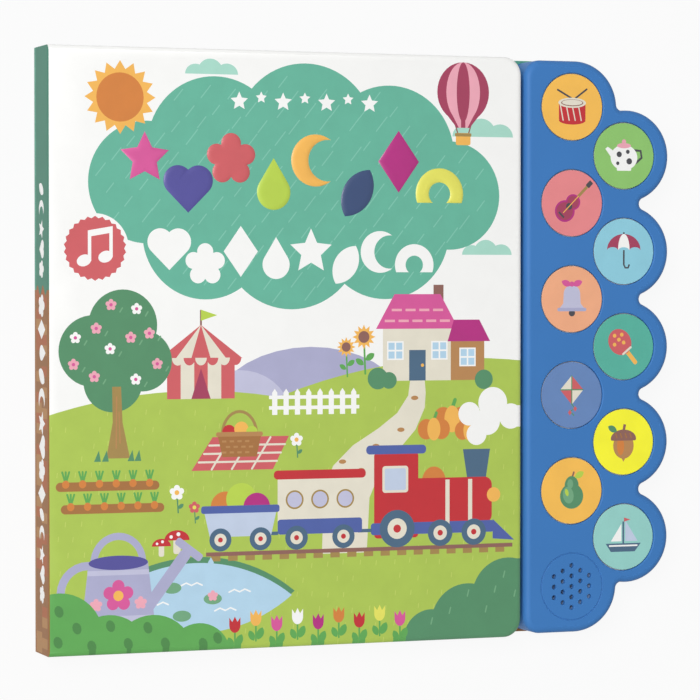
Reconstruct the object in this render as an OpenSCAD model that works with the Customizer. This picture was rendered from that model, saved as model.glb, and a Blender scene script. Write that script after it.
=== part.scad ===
// Sound book: a card book with a scalloped sound module of ten buttons along its free edge.
// The book lies on its back cover. The spine is at -X, the module at +X, and the front cover faces +Z.

/* [Book] */
// Width of the front cover, from the outside of the spine to its free edge
cover_w = 215.5; // [190:0.5:235]
// Thickness of the closed book, from the back cover to the face of the front cover
book_t = 22; // [20.5:0.5:26]
// Thickness of the front cover's board
cover_t = 2.4; // [2:0.1:3]
// Thickness of the back cover's board
back_t = 2.4; // [2:0.1:3]
// Thickness of the spine's board
spine_t = 1.6; // [1.2:0.1:2.4]
// How far the boards stand out past the pages and the module
overhang = 0.75; // [0.5:0.05:1.2]
// Radius of the rounded corners at the free edges
corner_r = 8; // [5:0.5:10]
// Number of thick card leaves in the page block
leaf_count = 6; // [4:1:7]
// Width of the groove seen between two leaves
leaf_gap = 0.3; // [0.2:0.05:0.4]
// Depth of the groove seen between two leaves
leaf_groove = 0.8; // [0.4:0.1:1.5]
// Thickness of the printed film on the boards
print_t = 0.12; // [0.1:0.02:0.2]
// How far the padded shapes stand out of the front cover
pad_raise = 0.5; // [0.3:0.1:0.8]

/* [Module housing] */
// Gap between the front cover's free edge and the module
module_gap = 2.3; // [1.5:0.1:4]
// How far the module's face lies below the face of the front cover
module_drop = 1; // [0.5:0.1:1.5]
// Thickness of the housing's side wall
housing_wall = 1.6; // [1.2:0.1:2]
// Thickness of the housing's face
face_t = 1.8; // [1.5:0.1:2.2]
// Radius of the rounded edge round the housing's face
edge_r = 3; // [2:0.25:4]
// Width of the rim between a button's cap and the edge of its lobe
lobe_rim = 5.8; // [5.3:0.1:6.3]
// Radius of the rounded notches between the lobes
notch_r = 2.7; // [2:0.1:3.5]
// How far a lobe's centre lies beyond its button's centre
lobe_shift = 2; // [1.5:0.1:2.6]
// Radius of the housing's screw bosses
boss_r = 3; // [2.6:0.1:3.2]
// Thickness of the module's base plate
base_t = 1.6; // [1.4:0.1:2]
// Clearance of the base plate inside the housing
base_fit = 0.2; // [0.15:0.05:0.3]

/* [Buttons] */
// Diameter of a button's cap
button_d = 29.4; // [28:0.1:31]
// Space between two buttons of one column
button_space = 13.3; // [12.8:0.1:14]
// Width of the strip in which the two columns of buttons lap over each other
column_lap = 3.9; // [3:0.1:4.2]
// Space between the module's straight side and the left column
column_inset = 8.1; // [7.6:0.1:10]
// Clearance round a button's cap
button_fit = 0.35; // [0.3:0.05:0.5]
// Width of the bevel round a button's opening
button_bevel = 0.5; // [0.3:0.1:0.7]
// How far a button's face lies below the module's face
button_recess = 0.4; // [0.3:0.1:0.6]
// How far the flange that keeps a button in stands out past its opening
flange_reach = 0.95; // [0.8:0.05:1.1]
// Thickness of the flange that keeps a button in
flange_t = 1.2; // [1:0.1:1.4]
// Length of the stem under a button
stem_l = 1.5; // [1.2:0.1:2]
// Radius of the stem under a button
stem_r = 3; // [2.5:0.1:3.5]
// Thickness of the printed disc on a button
label_t = 0.2; // [0.15:0.05:0.3]
// Height of the rubber dome under a button
dome_h = 3.4; // [3:0.1:4]
// Radius of the foot of the rubber dome
dome_r = 4.8; // [4.4:0.1:5.2]

/* [Speaker] */
// Diameter of the holes in front of the speaker
hole_d = 2.1; // [1.6:0.1:2.6]
// Distance between two holes of one column
hole_pitch = 4.7; // [4.2:0.1:5]
// Distance between two columns of holes
hole_column = 4.3; // [3.8:0.1:4.5]
// Number of rings of holes round the middle one
hole_rings = 2; // [1:1:2]
// Radius of the fine groove round the holes
groove_r = 14.9; // [14.2:0.1:15.2]
// Width of the fine groove round the holes
groove_w = 0.6; // [0.4:0.1:0.8]
// Depth of the fine groove round the holes
groove_depth = 0.4; // [0.2:0.1:0.6]
// Radius of the speaker
speaker_r = 14; // [13.5:0.1:14.4]
// Depth of the speaker's frame
speaker_h = 4.4; // [4:0.1:5]
// Radius of the speaker's magnet
magnet_r = 6.5; // [5:0.25:7]
// Thickness of the speaker's magnet
magnet_h = 3; // [2:0.25:3.5]
// Clearance of the speaker in its ring
speaker_fit = 0.3; // [0.2:0.05:0.4]
// Wall of the ring that holds the speaker
ring_wall = 1.2; // [1:0.1:1.4]
// Height of the ring that holds the speaker
ring_h = 4; // [3:0.25:5]

/* [Circuit board] */
// Thickness of the circuit board
board_t = 1.6; // [1:0.1:1.6]
// How far the circuit board reaches past the middle of the left column
board_side = 8; // [7:0.5:10]
// How far the circuit board reaches past the middle of the right column
board_edge = 5.5; // [5:0.1:6]
// Radius of the posts that carry the circuit board
post_r = 2.5; // [2:0.1:3]
// Radius of the black drop over the sound chip
chip_r = 5; // [4:0.25:6]
// Height of the black drop over the sound chip
chip_h = 1.6; // [1.2:0.1:2]
// Radius of the speaker's wires
wire_r = 0.6; // [0.5:0.05:0.7]

/* [Battery bay] */
// Diameter of a button cell
cell_d = 11.6; // [11:0.1:12]
// Height of a button cell
cell_h = 5.4; // [5:0.1:5.6]
// Space between two cells
cell_gap = 0.8; // [0.5:0.1:1.2]
// Clearance between the cells and the bay's wall
cell_fit = 0.4; // [0.35:0.05:0.6]
// Thickness of the contact plates
contact_t = 0.3; // [0.2:0.05:0.35]
// Width of the contact plates
contact_w = 7; // [5:0.25:8]
// Thickness of the bay's walls
bay_wall = 1.2; // [1:0.1:1.6]
// Thickness of the battery door
door_t = 1.4; // [1.2:0.1:1.6]
// How far the battery door lies below the back of the book
door_recess = 0.3; // [0.2:0.05:0.5]
// How far the door laps over the bay's wall
door_lap = 1.8; // [1.5:0.1:2.4]
// Clearance round the battery door
door_fit = 0.25; // [0.2:0.05:0.4]
// Length of the door's end that takes the screw
door_end = 8; // [7:0.25:9]
// Width of the frame round the battery door
frame_w = 1.6; // [1.5:0.1:2]
// Clearance of that frame in the back cover's window
window_fit = 0.3; // [0.2:0.05:0.5]
// Diameter of the screws' thread
screw_d = 2.4; // [2:0.1:2.6]
// Diameter of the screws' heads
screw_head_d = 4.4; // [4:0.1:4.8]

/* [Hidden] */

$fn = 64;
cut = 1;
step_angle = 9;
edge_steps = 4;

// Buttons, their openings and the lobes round them
button_pitch = button_d + button_space;
bore_r = button_d / 2 + button_fit;
flange_r = bore_r + flange_reach;
lobe_r = button_d / 2 + lobe_rim;

// Places across the book, measured from the outside of the spine
module_x = cover_w + module_gap;
column_1 = module_x + column_inset + button_d / 2;
column_2 = column_1 + button_d - column_lap;
lobe_1 = column_1 + lobe_shift;
lobe_2 = column_2 + lobe_shift;
book_w = lobe_2 + lobe_r + overhang;

// Places up the page, measured from the middle of the book
module_half = 2.5 * button_pitch + lobe_r;
cover_half = module_half + overhang;
speaker_y = -2.5 * button_pitch;

// Heights over the table
face_z = book_t - module_drop;
plate_z = face_z - face_t;
flange_z = plate_z - flange_t;
dome_z = flange_z - stem_l - dome_h;
board_z = dome_z - board_t;
base_z = back_t + base_t;
door_z = door_recess + door_t;
cell_z = door_z + contact_t;
bay_z = cell_z + cell_h + contact_t;
cap_z = face_z - button_recess - label_t;
block_t = book_t - cover_t - back_t;

// Battery bay and its door, centred on bay_x
bay_shift = 8;
bay_x = column_1 + bay_shift;
bay_w = cell_d + 2 * cell_fit;
bay_l = 3 * cell_d + 2 * cell_gap + 2 * cell_fit;
bay_y = -door_end / 2;
door_w = bay_w + 2 * door_lap;
door_l = bay_l + 2 * door_lap + door_end;
frame_l = door_l + 2 * (door_fit + frame_w);
frame_x = door_w + 2 * (door_fit + frame_w);
door_screw_y = door_l / 2 - door_end / 2;
tab_w = 4;
tab_t = 0.8;
tab_l = 1.3;
tab_x = 4;
screw_l = 7;
screw_fit = 0.1;
pilot_r = (screw_d + screw_fit) / 2;
pocket_r = screw_head_d / 2 + screw_fit;

// Screw bosses of the housing and posts under the circuit board
boss_gap = 5;
boss_fit = 0.5;
boss_inset = housing_wall + boss_gap;
boss_places = [
    [module_x + boss_inset, 2 * button_pitch],
    [module_x + boss_inset, 0],
    [module_x + boss_inset, -2 * button_pitch],
    [column_2, 1.5 * button_pitch],
    [column_2, -1.5 * button_pitch]
];
post_places = [
    [column_1, 2 * button_pitch],
    [column_1, -1.5 * button_pitch],
    [column_2, button_pitch],
    [column_2, -button_pitch]
];

label_colors = [
    [0.957, 0.729, 0.337], [0.549, 0.769, 0.416], [0.910, 0.529, 0.541], [0.561, 0.808, 0.878],
    [0.953, 0.678, 0.518], [0.314, 0.686, 0.608], [0.380, 0.514, 0.722], [1.000, 0.980, 0.196],
    [0.961, 0.729, 0.333], [0.588, 0.824, 0.792]
];

// Unit of the print on the front cover, a hundredth of its width
unit = cover_w / 100;

// Centres of the lobes, from the bottom of the page to its top, and of the notches between them
lobes = concat(
    [[lobe_1, -2.5 * button_pitch]],
    [for (k = [-2:2]) [lobe_2, k * button_pitch]],
    [[lobe_1, 2.5 * button_pitch]]
);

function heading(a, b) = atan2(b[1] - a[1], b[0] - a[0]);

function notch_centre(a, b) =
    let (half = norm(b - a) / 2)
    let (out = sqrt(pow(lobe_r + notch_r, 2) - half * half))
    (a + b) / 2 + out * [b[1] - a[1], a[0] - b[0]] / (2 * half);

notches = [for (i = [0:len(lobes) - 2]) notch_centre(lobes[i], lobes[i + 1])];

// Points of an arc from one angle to another, both ends included
function arc(centre, r, from, to) =
    let (n = max(2, ceil(abs(to - from) / step_angle)))
    [for (i = [0:n]) centre + r * [cos(from + (to - from) * i / n), sin(from + (to - from) * i / n)]];

// Turns an angle by full circles until it is at or past the given start
function past(angle, start) = angle < start ? past(angle + 360, start) : angle;

function lobe_arc(i, grow) =
    let (from = i == 0 ? -90 : heading(lobes[i], notches[i - 1]))
    let (to = i == len(lobes) - 1 ? 90 : heading(lobes[i], notches[i]))
    arc(lobes[i], lobe_r + grow, from, past(to, from));

function notch_arc(i, grow) =
    let (to = heading(notches[i], lobes[i + 1]))
    let (from = past(heading(notches[i], lobes[i]), to))
    arc(notches[i], notch_r - grow, from, to);

// All points but the two ends
function inner_points(points) = [for (i = [1:len(points) - 2]) points[i]];

// Scalloped side of the module, from the bottom of the page to its top
function scallops(grow) = [
    for (i = [0:len(lobes) - 1])
        for (p = concat(lobe_arc(i, grow), i < len(notches) ? inner_points(notch_arc(i, grow)) : []))
            p
];

// Outline of the module, drawn in by a negative growth
function module_outline(grow) = concat(
    arc([module_x + corner_r, corner_r - module_half], corner_r + grow, 180, 270),
    scallops(grow),
    arc([module_x + corner_r, module_half - corner_r], corner_r + grow, 90, 180)
);

// Outline of the back cover, which the module lies on
function back_outline() = concat([[0, -cover_half]], scallops(overhang), [[0, cover_half]]);

// Turns the children into the part's own frame
module placed() {
    translate([-book_w / 2, 0, 0]) children();
}

// A board with rounded corners at its free edge
module board(from, to, half, r) {
    translate([from, -half]) square([to - r - from, 2 * half]);
    translate([to - r - cut, r - half]) square([r + cut, 2 * (half - r)]);
    for (side = [-1, 1])
        translate([to - r, side * (half - r)]) circle(r);
}

module front_cover() {
    color([0.97, 0.97, 0.96])
        placed()
            translate([0, 0, book_t - cover_t])
                linear_extrude(cover_t - print_t)
                    board(0, cover_w, cover_half, corner_r);
}

module spine() {
    color([0.31, 0.56, 0.47])
        placed()
            translate([print_t, -cover_half, back_t])
                cube([spine_t - print_t, 2 * cover_half, block_t]);
}

// Groove round the free edges of the leaves
module leaf_groove_shape(to) {
    difference() {
        board(spine_t + leaf_groove, to + cut, module_half + cut, corner_r);
        board(0, to - leaf_groove, module_half - leaf_groove, corner_r - leaf_groove);
    }
}

module page_block() {
    to = cover_w - overhang;
    color([0.93, 0.92, 0.89])
        placed()
            translate([0, 0, back_t])
                difference() {
                    linear_extrude(block_t)
                        board(spine_t, to, module_half, corner_r);
                    for (i = [1:leaf_count - 1])
                        translate([0, 0, i * block_t / leaf_count - leaf_gap / 2])
                            linear_extrude(leaf_gap)
                                leaf_groove_shape(to);
                }
}

module back_cover() {
    window_x = frame_x + 2 * window_fit;
    window_y = frame_l + 2 * window_fit;
    color([0.38, 0.70, 0.60])
        placed()
            difference() {
                linear_extrude(back_t)
                    polygon(back_outline());
                translate([bay_x - window_x / 2, -window_y / 2, -cut])
                    cube([window_x, window_y, back_t + 2 * cut]);
            }
}

// Circles given as centre and radius in units of the print
module discs(list) {
    for (d = list)
        translate([d[0] * unit, d[1] * unit]) circle(d[2] * unit);
}

// A layer of print on the front cover, cut to the board's edge
module print_film(tint) {
    color(tint)
        placed()
            translate([0, 0, book_t - print_t])
                linear_extrude(print_t)
                    intersection() {
                        board(0, cover_w, cover_half, corner_r);
                        children();
                    }
}

panel_discs = [
    [20, 33, 12], [34, 40, 14], [53, 42, 15], [71, 39, 14],
    [84, 31, 11], [70, 24, 14], [50, 23, 15], [32, 23, 13]
];
hill_discs = [[30, -112, 104], [88, -118, 116]];
crown_discs = [[9, 0, 7], [15, 5, 7], [19, -2, 6], [13, -6, 6]];
bush_discs = [[80, -59, 6], [88, -56, 8], [97, -51, 8]];
pond_half = 20;
pond_rise = 7;
pond_bend = (pond_half * pond_half + pond_rise * pond_rise) / (2 * pond_rise);
pond_at = [30, -49];
train_at = [66, -40];

module tree_shapes() {
    discs(crown_discs);
    discs(bush_discs);
}

module pond_shape() {
    intersection() {
        discs([[pond_at[0], pond_at[1] + pond_bend - pond_rise, pond_bend]]);
        discs([[pond_at[0], pond_at[1] - pond_bend + pond_rise, pond_bend]]);
    }
}

// Rounded box given by its middle and size in units of the print
module print_box(x, y, w, h, r) {
    translate([x * unit, y * unit]) {
        square([w * unit, (h - 2 * r) * unit], center = true);
        square([(w - 2 * r) * unit, h * unit], center = true);
        for (sx = [-1, 1], sy = [-1, 1])
            translate([sx * (w / 2 - r) * unit, sy * (h / 2 - r) * unit]) circle(r * unit);
    }
}

// Red parts of a printed train: the boiler, the cab and a wagon's roof
module train_shapes() {
    print_box(train_at[0] + 17.4, train_at[1] + 9, 20, 9.4, 1.6);
    print_box(train_at[0] + 6.4, train_at[1] + 10.4, 9.6, 17.4, 0.8);
    print_box(train_at[0] - 10, train_at[1] + 15, 19.6, 1.8, 0.8);
}

module print_panel() {
    print_film([0.38, 0.70, 0.60]) discs(panel_discs);
}

module print_meadow() {
    print_film([0.65, 0.77, 0.30])
        difference() {
            discs(hill_discs);
            tree_shapes();
            pond_shape();
            train_shapes();
        }
}

module print_trees() {
    print_film([0.29, 0.53, 0.37]) tree_shapes();
}

module print_pond() {
    print_film([0.70, 0.83, 0.92]) pond_shape();
}

module print_train() {
    print_film([0.75, 0.12, 0.16]) train_shapes();
}

module star(r, inner) {
    polygon([for (i = [0:9]) (i % 2 == 0 ? r : inner) * [sin(i * 36), cos(i * 36)]]);
}

module heart(r) {
    rotate(45) {
        translate([-r / 2, -r / 2]) square(r);
        translate([0, r / 2]) circle(r / 2);
        translate([r / 2, 0]) circle(r / 2);
    }
}

module flower(r) {
    circle(r / 2);
    for (i = [0:4])
        rotate(i * 72) translate([0, r * 0.6]) circle(r * 0.4);
}

module drop(r) {
    circle(r * 0.68);
    polygon([[-r * 0.6, r * 0.32], [r * 0.6, r * 0.32], [0, r * 1.3]]);
}

module moon(r) {
    difference() {
        circle(r);
        translate([r * 0.5, 0]) circle(r * 0.8);
    }
}

module leaf(r) {
    rotate(-30)
        intersection() {
            translate([-r * 0.6, 0]) circle(r * 1.2);
            translate([r * 0.6, 0]) circle(r * 1.2);
        }
}

module diamond(r) {
    polygon([[0, -r * 1.2], [r * 0.85, 0], [0, r * 1.2], [-r * 0.85, 0]]);
}

module rainbow(r) {
    difference() {
        circle(r);
        circle(r * 0.45);
        translate([-2 * r, -2.35 * r]) square([4 * r, 2 * r]);
    }
}

pad_r = 5.2 * unit;
pad_first = 19.5;
pad_step = 8.9;
pad_row = 34.5;
pad_swing = 3.2;

// Place of a padded shape, by turns above and below the middle of their row
module pad(i) {
    y = pad_row + (i % 2 == 0 ? pad_swing : -pad_swing);
    translate([(pad_first + i * pad_step) * unit, y * unit]) children();
}

module padded_shapes() {
    color([0.84, 0.33, 0.59])
        placed()
            translate([0, 0, book_t])
                linear_extrude(pad_raise) {
                    pad(0) star(pad_r, pad_r * 0.5);
                    pad(1) heart(pad_r * 1.15);
                    pad(2) flower(pad_r);
                    pad(3) drop(pad_r);
                    pad(4) moon(pad_r);
                    pad(5) leaf(pad_r);
                    pad(6) diamond(pad_r);
                    pad(7) rainbow(pad_r);
                }
}

// Print on the lower half of the spine, with a waved upper edge
module print_spine_waves() {
    wave_top = cover_half * 0.2;
    wave_h = 2;
    waves = 4;
    samples = 24;
    color([0.63, 0.41, 0.20])
        placed()
            rotate([90, 0, 90])
                linear_extrude(print_t)
                    polygon(concat(
                        [[-cover_half, back_t]],
                        [for (i = [0:samples]) [
                            wave_top + wave_h * sin(360 * waves * i / samples / 2),
                            back_t + block_t * i / samples
                        ]],
                        [[-cover_half, back_t + block_t]]
                    ));
}

// Outer skin of the housing: rings of the outline, drawn in and up round the face's edge.
// It runs past its two flat ends and is cut to them.
module housing_skin() {
    outlines = concat(
        [[0, back_t - cut]],
        [for (i = [0:edge_steps])
            let (a = 90 * i / edge_steps)
            [edge_r * (cos(a) - 1), face_z - edge_r * (1 - sin(a))]],
        [[-edge_r, face_z + cut]]
    );
    n = len(module_outline(0));
    layers = len(outlines);
    sides = [
        for (k = [0:layers - 2]) for (i = [0:n - 1])
            [k * n + i, (k + 1) * n + i, (k + 1) * n + (i + 1) % n, k * n + (i + 1) % n]
    ];
    intersection() {
        polyhedron(
            [for (o = outlines) for (p = module_outline(o[0])) [p[0], p[1], o[1]]],
            concat([[for (i = [0:n - 1]) i]], sides, [[for (i = [n - 1:-1:0]) (layers - 1) * n + i]]),
            convexity = 8
        );
        translate([module_x - cut, -cover_half, back_t])
            cube([book_w - module_x + cut, 2 * cover_half, face_z - back_t]);
    }
}

// Places of the holes in front of the speaker, in a hexagon that stands on a corner
hole_places = [
    for (q = [-hole_rings:hole_rings])
        for (r = [max(-hole_rings, -q - hole_rings):min(hole_rings, hole_rings - q)])
            [q * hole_column, (r + q / 2) * hole_pitch]
];

function button_place(i) = i % 2 == 0
    ? [column_1, (2.5 - i / 2) * button_pitch]
    : [column_2, (2 - (i - 1) / 2) * button_pitch];

module button_openings() {
    for (i = [0:9])
        translate(button_place(i)) {
            translate([0, 0, plate_z - cut]) cylinder(h = face_t + 2 * cut, r = bore_r);
            translate([0, 0, face_z - button_bevel])
                cylinder(h = button_bevel + cut, r1 = bore_r, r2 = bore_r + button_bevel + cut);
        }
}

// Ring with a round hole, standing on height 0
module tube_ring(h, outer_r, inner_r) {
    difference() {
        cylinder(h = h, r = outer_r);
        translate([0, 0, -cut]) cylinder(h = h + 2 * cut, r = inner_r);
    }
}

module module_housing() {
    ring_r = speaker_r + speaker_fit;
    color([0.25, 0.47, 0.73])
        placed()
            difference() {
                union() {
                    difference() {
                        housing_skin();
                        translate([0, 0, back_t - cut])
                            linear_extrude(plate_z - back_t + cut)
                                polygon(module_outline(-housing_wall));
                    }
                    for (p = boss_places)
                        translate([p[0], p[1], base_z]) cylinder(h = plate_z - base_z + cut / 2, r = boss_r);
                    translate([column_1, speaker_y, plate_z - ring_h])
                        tube_ring(ring_h + cut / 2, ring_r + ring_wall, ring_r);
                }
                button_openings();
                translate([column_1, speaker_y, plate_z - cut]) {
                    for (p = hole_places)
                        translate(p) cylinder(h = face_t + 2 * cut, r = hole_d / 2);
                }
                translate([column_1, speaker_y, face_z - groove_depth])
                    tube_ring(groove_depth + cut, groove_r + groove_w / 2, groove_r - groove_w / 2);
                for (p = boss_places)
                    translate([p[0], p[1], base_z - cut]) cylinder(h = screw_l + cut, r = pilot_r);
            }
}

// Countersunk hole for a screw that comes from below, with its head at height 0
module screw_hole() {
    translate([0, 0, -cut]) cylinder(h = screw_l + cut, r = pilot_r);
    translate([0, 0, -cut]) cylinder(h = cut, r = pocket_r);
    cylinder(h = pocket_r, r1 = pocket_r, r2 = 0);
}

module screw() {
    head_r = screw_head_d / 2;
    thread_r = screw_d / 2;
    point_l = 1;
    tip_gap = 0.5;
    cross_w = 0.6;
    cross_l = screw_head_d * 0.6;
    cross_depth = 0.5;
    difference() {
        rotate_extrude()
            polygon([
                [0, 0], [head_r, 0], [thread_r, head_r - thread_r],
                [thread_r, screw_l - tip_gap - point_l], [0, screw_l - tip_gap]
            ]);
        for (turn = [0, 90])
            rotate(turn)
                translate([-cross_l / 2, -cross_w / 2, -cut]) cube([cross_l, cross_w, cut + cross_depth]);
    }
}

// Rectangular block centred on the bay's middle line
module bay_block(w, l, y, from, to) {
    translate([bay_x - w / 2, y - l / 2, from]) cube([w, l, to - from]);
}

// Slot in the frame's end wall for one of the door's tabs
module bay_slot(side) {
    w = tab_w + 2 * door_fit;
    translate([bay_x + side * tab_x - w / 2, -frame_l / 2 - cut, door_z - tab_t - door_fit])
        cube([w, (frame_l - door_l) / 2 + cut, tab_t + door_fit]);
}

module module_base() {
    slot_fit = 0.3;
    slot = contact_t + slot_fit;
    slot_w = contact_w + slot_fit;
    color([0.22, 0.42, 0.66])
        placed()
            difference() {
                union() {
                    translate([0, 0, back_t])
                        linear_extrude(base_t)
                            polygon(module_outline(-housing_wall - base_fit));
                    bay_block(frame_x, frame_l, 0, door_recess, base_z);
                    bay_block(bay_w + 2 * bay_wall, bay_l + 2 * bay_wall, bay_y, back_t, bay_z + bay_wall);
                    translate([bay_x, door_screw_y, back_t])
                        cylinder(h = bay_z + bay_wall - back_t, r = boss_r);
                    for (p = post_places)
                        translate([p[0], p[1], back_t]) cylinder(h = board_z - back_t, r = post_r);
                }
                bay_block(door_w + 2 * door_fit, door_l + 2 * door_fit, 0, -cut, door_z);
                bay_block(bay_w, bay_l, bay_y, 0, bay_z);
                for (side = [-1, 1])
                    bay_slot(side);
                translate([bay_x, door_screw_y, door_recess]) cylinder(h = screw_l + cut, r = pilot_r);
                for (side = [-1, 1])
                    translate([bay_x, bay_y + side * (bay_l - slot) / 2, bay_z])
                        cube([slot_w, slot, 2 * bay_wall + cut], center = true);
                for (p = boss_places)
                    translate([p[0], p[1], back_t]) screw_hole();
            }
}

board_reach = 6;
board_foot = 1.5 * button_pitch + 2 * board_reach;

// The circuit board steps in at its top and bottom, where there is one column only
module circuit_board() {
    left = column_1 - board_side;
    right = column_2 + board_edge;
    step_x = column_1 + board_side;
    foot_x = column_1 + 2 * board_side;
    top = 2.5 * button_pitch + board_reach;
    shoulder = 2 * button_pitch + board_side;
    foot = board_foot;
    color([0.16, 0.40, 0.24])
        placed()
            translate([0, 0, board_z])
                difference() {
                    linear_extrude(board_t)
                        polygon([
                            [left, -foot], [foot_x, -foot], [foot_x, -shoulder], [right, -shoulder],
                            [right, shoulder], [step_x, shoulder], [step_x, top], [left, top]
                        ]);
                    for (p = boss_places)
                        translate([p[0], p[1], -cut]) cylinder(h = board_t + 2 * cut, r = boss_r + boss_fit);
                }
}

module sound_chip() {
    edge = 0.5;
    color([0.08, 0.08, 0.09])
        placed()
            translate([column_1, 0, dome_z])
                rotate_extrude()
                    polygon([
                        [0, 0], [chip_r, 0], [chip_r - edge, chip_h * 0.5],
                        [chip_r * 0.6, chip_h * 0.85], [0, chip_h]
                    ]);
}

module at_speaker(z) {
    placed() translate([column_1, speaker_y, z]) children();
}

rim_r = speaker_r - 1.4;
rim_h = 1;
frame_t = 0.6;
well_r = 8.2;

module speaker_frame() {
    color([0.62, 0.63, 0.65])
        at_speaker(plate_z)
            rotate_extrude()
                polygon([
                    [speaker_r, 0], [speaker_r, -rim_h - 0.2], [rim_r - 0.2, -rim_h - 0.2],
                    [well_r, -speaker_h], [0, -speaker_h],
                    [0, frame_t - speaker_h], [well_r - 0.4, frame_t - speaker_h],
                    [rim_r - 1.2, -rim_h], [rim_r, -rim_h], [rim_r, 0]
                ]);
}

module speaker_cone() {
    film = 0.3;
    cap_r = 4;
    depth = 2.2;
    color([0.16, 0.16, 0.17])
        at_speaker(plate_z - rim_h)
            rotate_extrude()
                polygon([
                    [rim_r - 0.1, 0], [rim_r - 0.1, film], [rim_r - 1.8, film], [cap_r, film - depth],
                    [cap_r * 0.5, film - depth + 1], [0, film - depth + 1.3], [0, 1 - depth],
                    [cap_r * 0.5, 0.7 - depth], [cap_r, -depth], [rim_r - 1.7, 0]
                ]);
}

module speaker_magnet() {
    color([0.30, 0.30, 0.32])
        at_speaker(plate_z - speaker_h - magnet_h)
            cylinder(h = magnet_h, r = magnet_r);
}

// Tube along a route that stays in one upright plane, with eight sides
module tube(route, r) {
    sides = 8;
    n = len(route);
    ways = [for (i = [0:n - 1]) route[min(i + 1, n - 1)] - route[max(i - 1, 0)]];
    points = [
        for (i = [0:n - 1]) for (k = [0:sides - 1])
            let (up = cross([1, 0, 0], ways[i] / norm(ways[i])))
            route[i] + r * (cos(k * 360 / sides) * [1, 0, 0] + sin(k * 360 / sides) * up)
    ];
    faces = [
        for (i = [0:n - 2]) for (k = [0:sides - 1])
            let (a = i * sides + k, b = i * sides + (k + 1) % sides)
            [a, b, b + sides, a + sides]
    ];
    polyhedron(
        points,
        concat([[for (k = [sides - 1:-1:0]) k]], faces, [[for (k = [0:sides - 1]) (n - 1) * sides + k]]),
        convexity = 4
    );
}

wire_spread = 1.5;
wire_bend = 3;
wire_rise = 0.5;
bend_steps = 4;

// Quarter turn of a wire about a centre, in the plane across the book
function wire_turn(x, y, z, from) = [
    for (i = [0:bend_steps])
        let (a = from + 90 * i / bend_steps)
        [x, y + wire_bend * cos(a), z + wire_bend * sin(a)]
];

// Wire from the speaker's back down, under the circuit board's end and up to its underside
module speaker_wire(side, tint) {
    x = column_1 + side * wire_spread;
    from_y = speaker_y + (magnet_r + well_r) / 2;
    to_y = board_reach - board_foot;
    turn_z = board_z - wire_rise;
    color(tint)
        placed()
            tube(concat(
                [[x, from_y, plate_z - speaker_h]],
                wire_turn(x, from_y + wire_bend, turn_z, 180),
                wire_turn(x, to_y - wire_bend, turn_z, 270),
                [[x, to_y, board_z]]
            ), wire_r);
}

function cell_y(i) = bay_y + (i - 1) * (cell_d + cell_gap);

// A cell stands on its can, or on its cap when it is turned over
module button_cell(i) {
    cap_r = cell_d / 2 - 1;
    cap_h = 0.7;
    color([0.80, 0.80, 0.79])
        placed()
            translate([bay_x, cell_y(i), i == 1 ? cell_z + cell_h : cell_z])
                mirror([0, 0, i == 1 ? 1 : 0])
                    rotate_extrude()
                        polygon([
                            [0, 0], [cell_d / 2 - 0.4, 0], [cell_d / 2, 0.4], [cell_d / 2, cell_h - cap_h],
                            [cap_r, cell_h - cap_h], [cap_r, cell_h], [0, cell_h]
                        ]);
}

contact_reach = 3;

// Contact plate along the bay, from one place to another, on the given height
module contact_plate(from, to, z) {
    translate([bay_x - contact_w / 2, from, z]) cube([contact_w, to - from, contact_t]);
}

module contact_positive() {
    end = bay_y + bay_l / 2;
    color([0.80, 0.74, 0.52])
        placed() {
            contact_plate(cell_y(2) - contact_reach, end, door_z);
            translate([bay_x - contact_w / 2, end - contact_t, door_z])
                cube([contact_w, contact_t, board_z - door_z]);
        }
}

module contact_negative() {
    start = bay_y - bay_l / 2;
    color([0.80, 0.74, 0.52])
        placed() {
            contact_plate(start, cell_y(0) + contact_reach, bay_z - contact_t);
            translate([bay_x - contact_w / 2, start, bay_z - contact_t])
                cube([contact_w, contact_t, board_z - bay_z + contact_t]);
        }
}

module contact_bridge(from, to, z) {
    color([0.80, 0.74, 0.52])
        placed()
            contact_plate(cell_y(from) - contact_reach, cell_y(to) + contact_reach, z);
}

module battery_door() {
    rib_count = 4;
    rib_l = door_w * 0.6;
    rib_first = 6;
    rib_gap = 3;
    rib_w = 1;
    rib_depth = 0.4;
    color([0.22, 0.42, 0.66])
        placed()
            difference() {
                union() {
                    bay_block(door_w, door_l, 0, door_recess, door_z);
                    for (side = [-1, 1])
                        translate([bay_x + side * tab_x - tab_w / 2, -door_l / 2 - tab_l, door_z - tab_t])
                            cube([tab_w, tab_l + cut, tab_t]);
                }
                for (i = [0:rib_count - 1])
                    bay_block(rib_l, rib_w, rib_first - door_l / 2 + i * rib_gap,
                        -cut, door_recess + rib_depth);
                translate([bay_x, door_screw_y, door_recess]) screw_hole();
            }
}

module battery_door_screw() {
    color([0.70, 0.70, 0.72])
        placed()
            translate([bay_x, door_screw_y, door_recess]) screw();
}

module housing_screws() {
    color([0.70, 0.70, 0.72])
        placed()
            for (p = boss_places)
                translate([p[0], p[1], back_t]) screw();
}

// Cap, flange and stem of a button, hollow under the cap
module button(i) {
    cap_r = button_d / 2;
    cap_wall = 2.5;
    hollow_r = cap_r - cap_wall;
    color([0.90, 0.90, 0.90])
        placed()
            translate(button_place(i))
                rotate_extrude()
                    polygon([
                        [0, dome_z + dome_h], [stem_r, dome_z + dome_h], [stem_r, plate_z],
                        [hollow_r, plate_z], [hollow_r, flange_z], [flange_r, flange_z],
                        [flange_r, plate_z], [cap_r, plate_z], [cap_r, cap_z], [0, cap_z]
                    ]);
}

module button_label(i) {
    color(label_colors[i])
        placed()
            translate(concat(button_place(i), [cap_z]))
                cylinder(h = label_t, r = button_d / 2);
}

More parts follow.
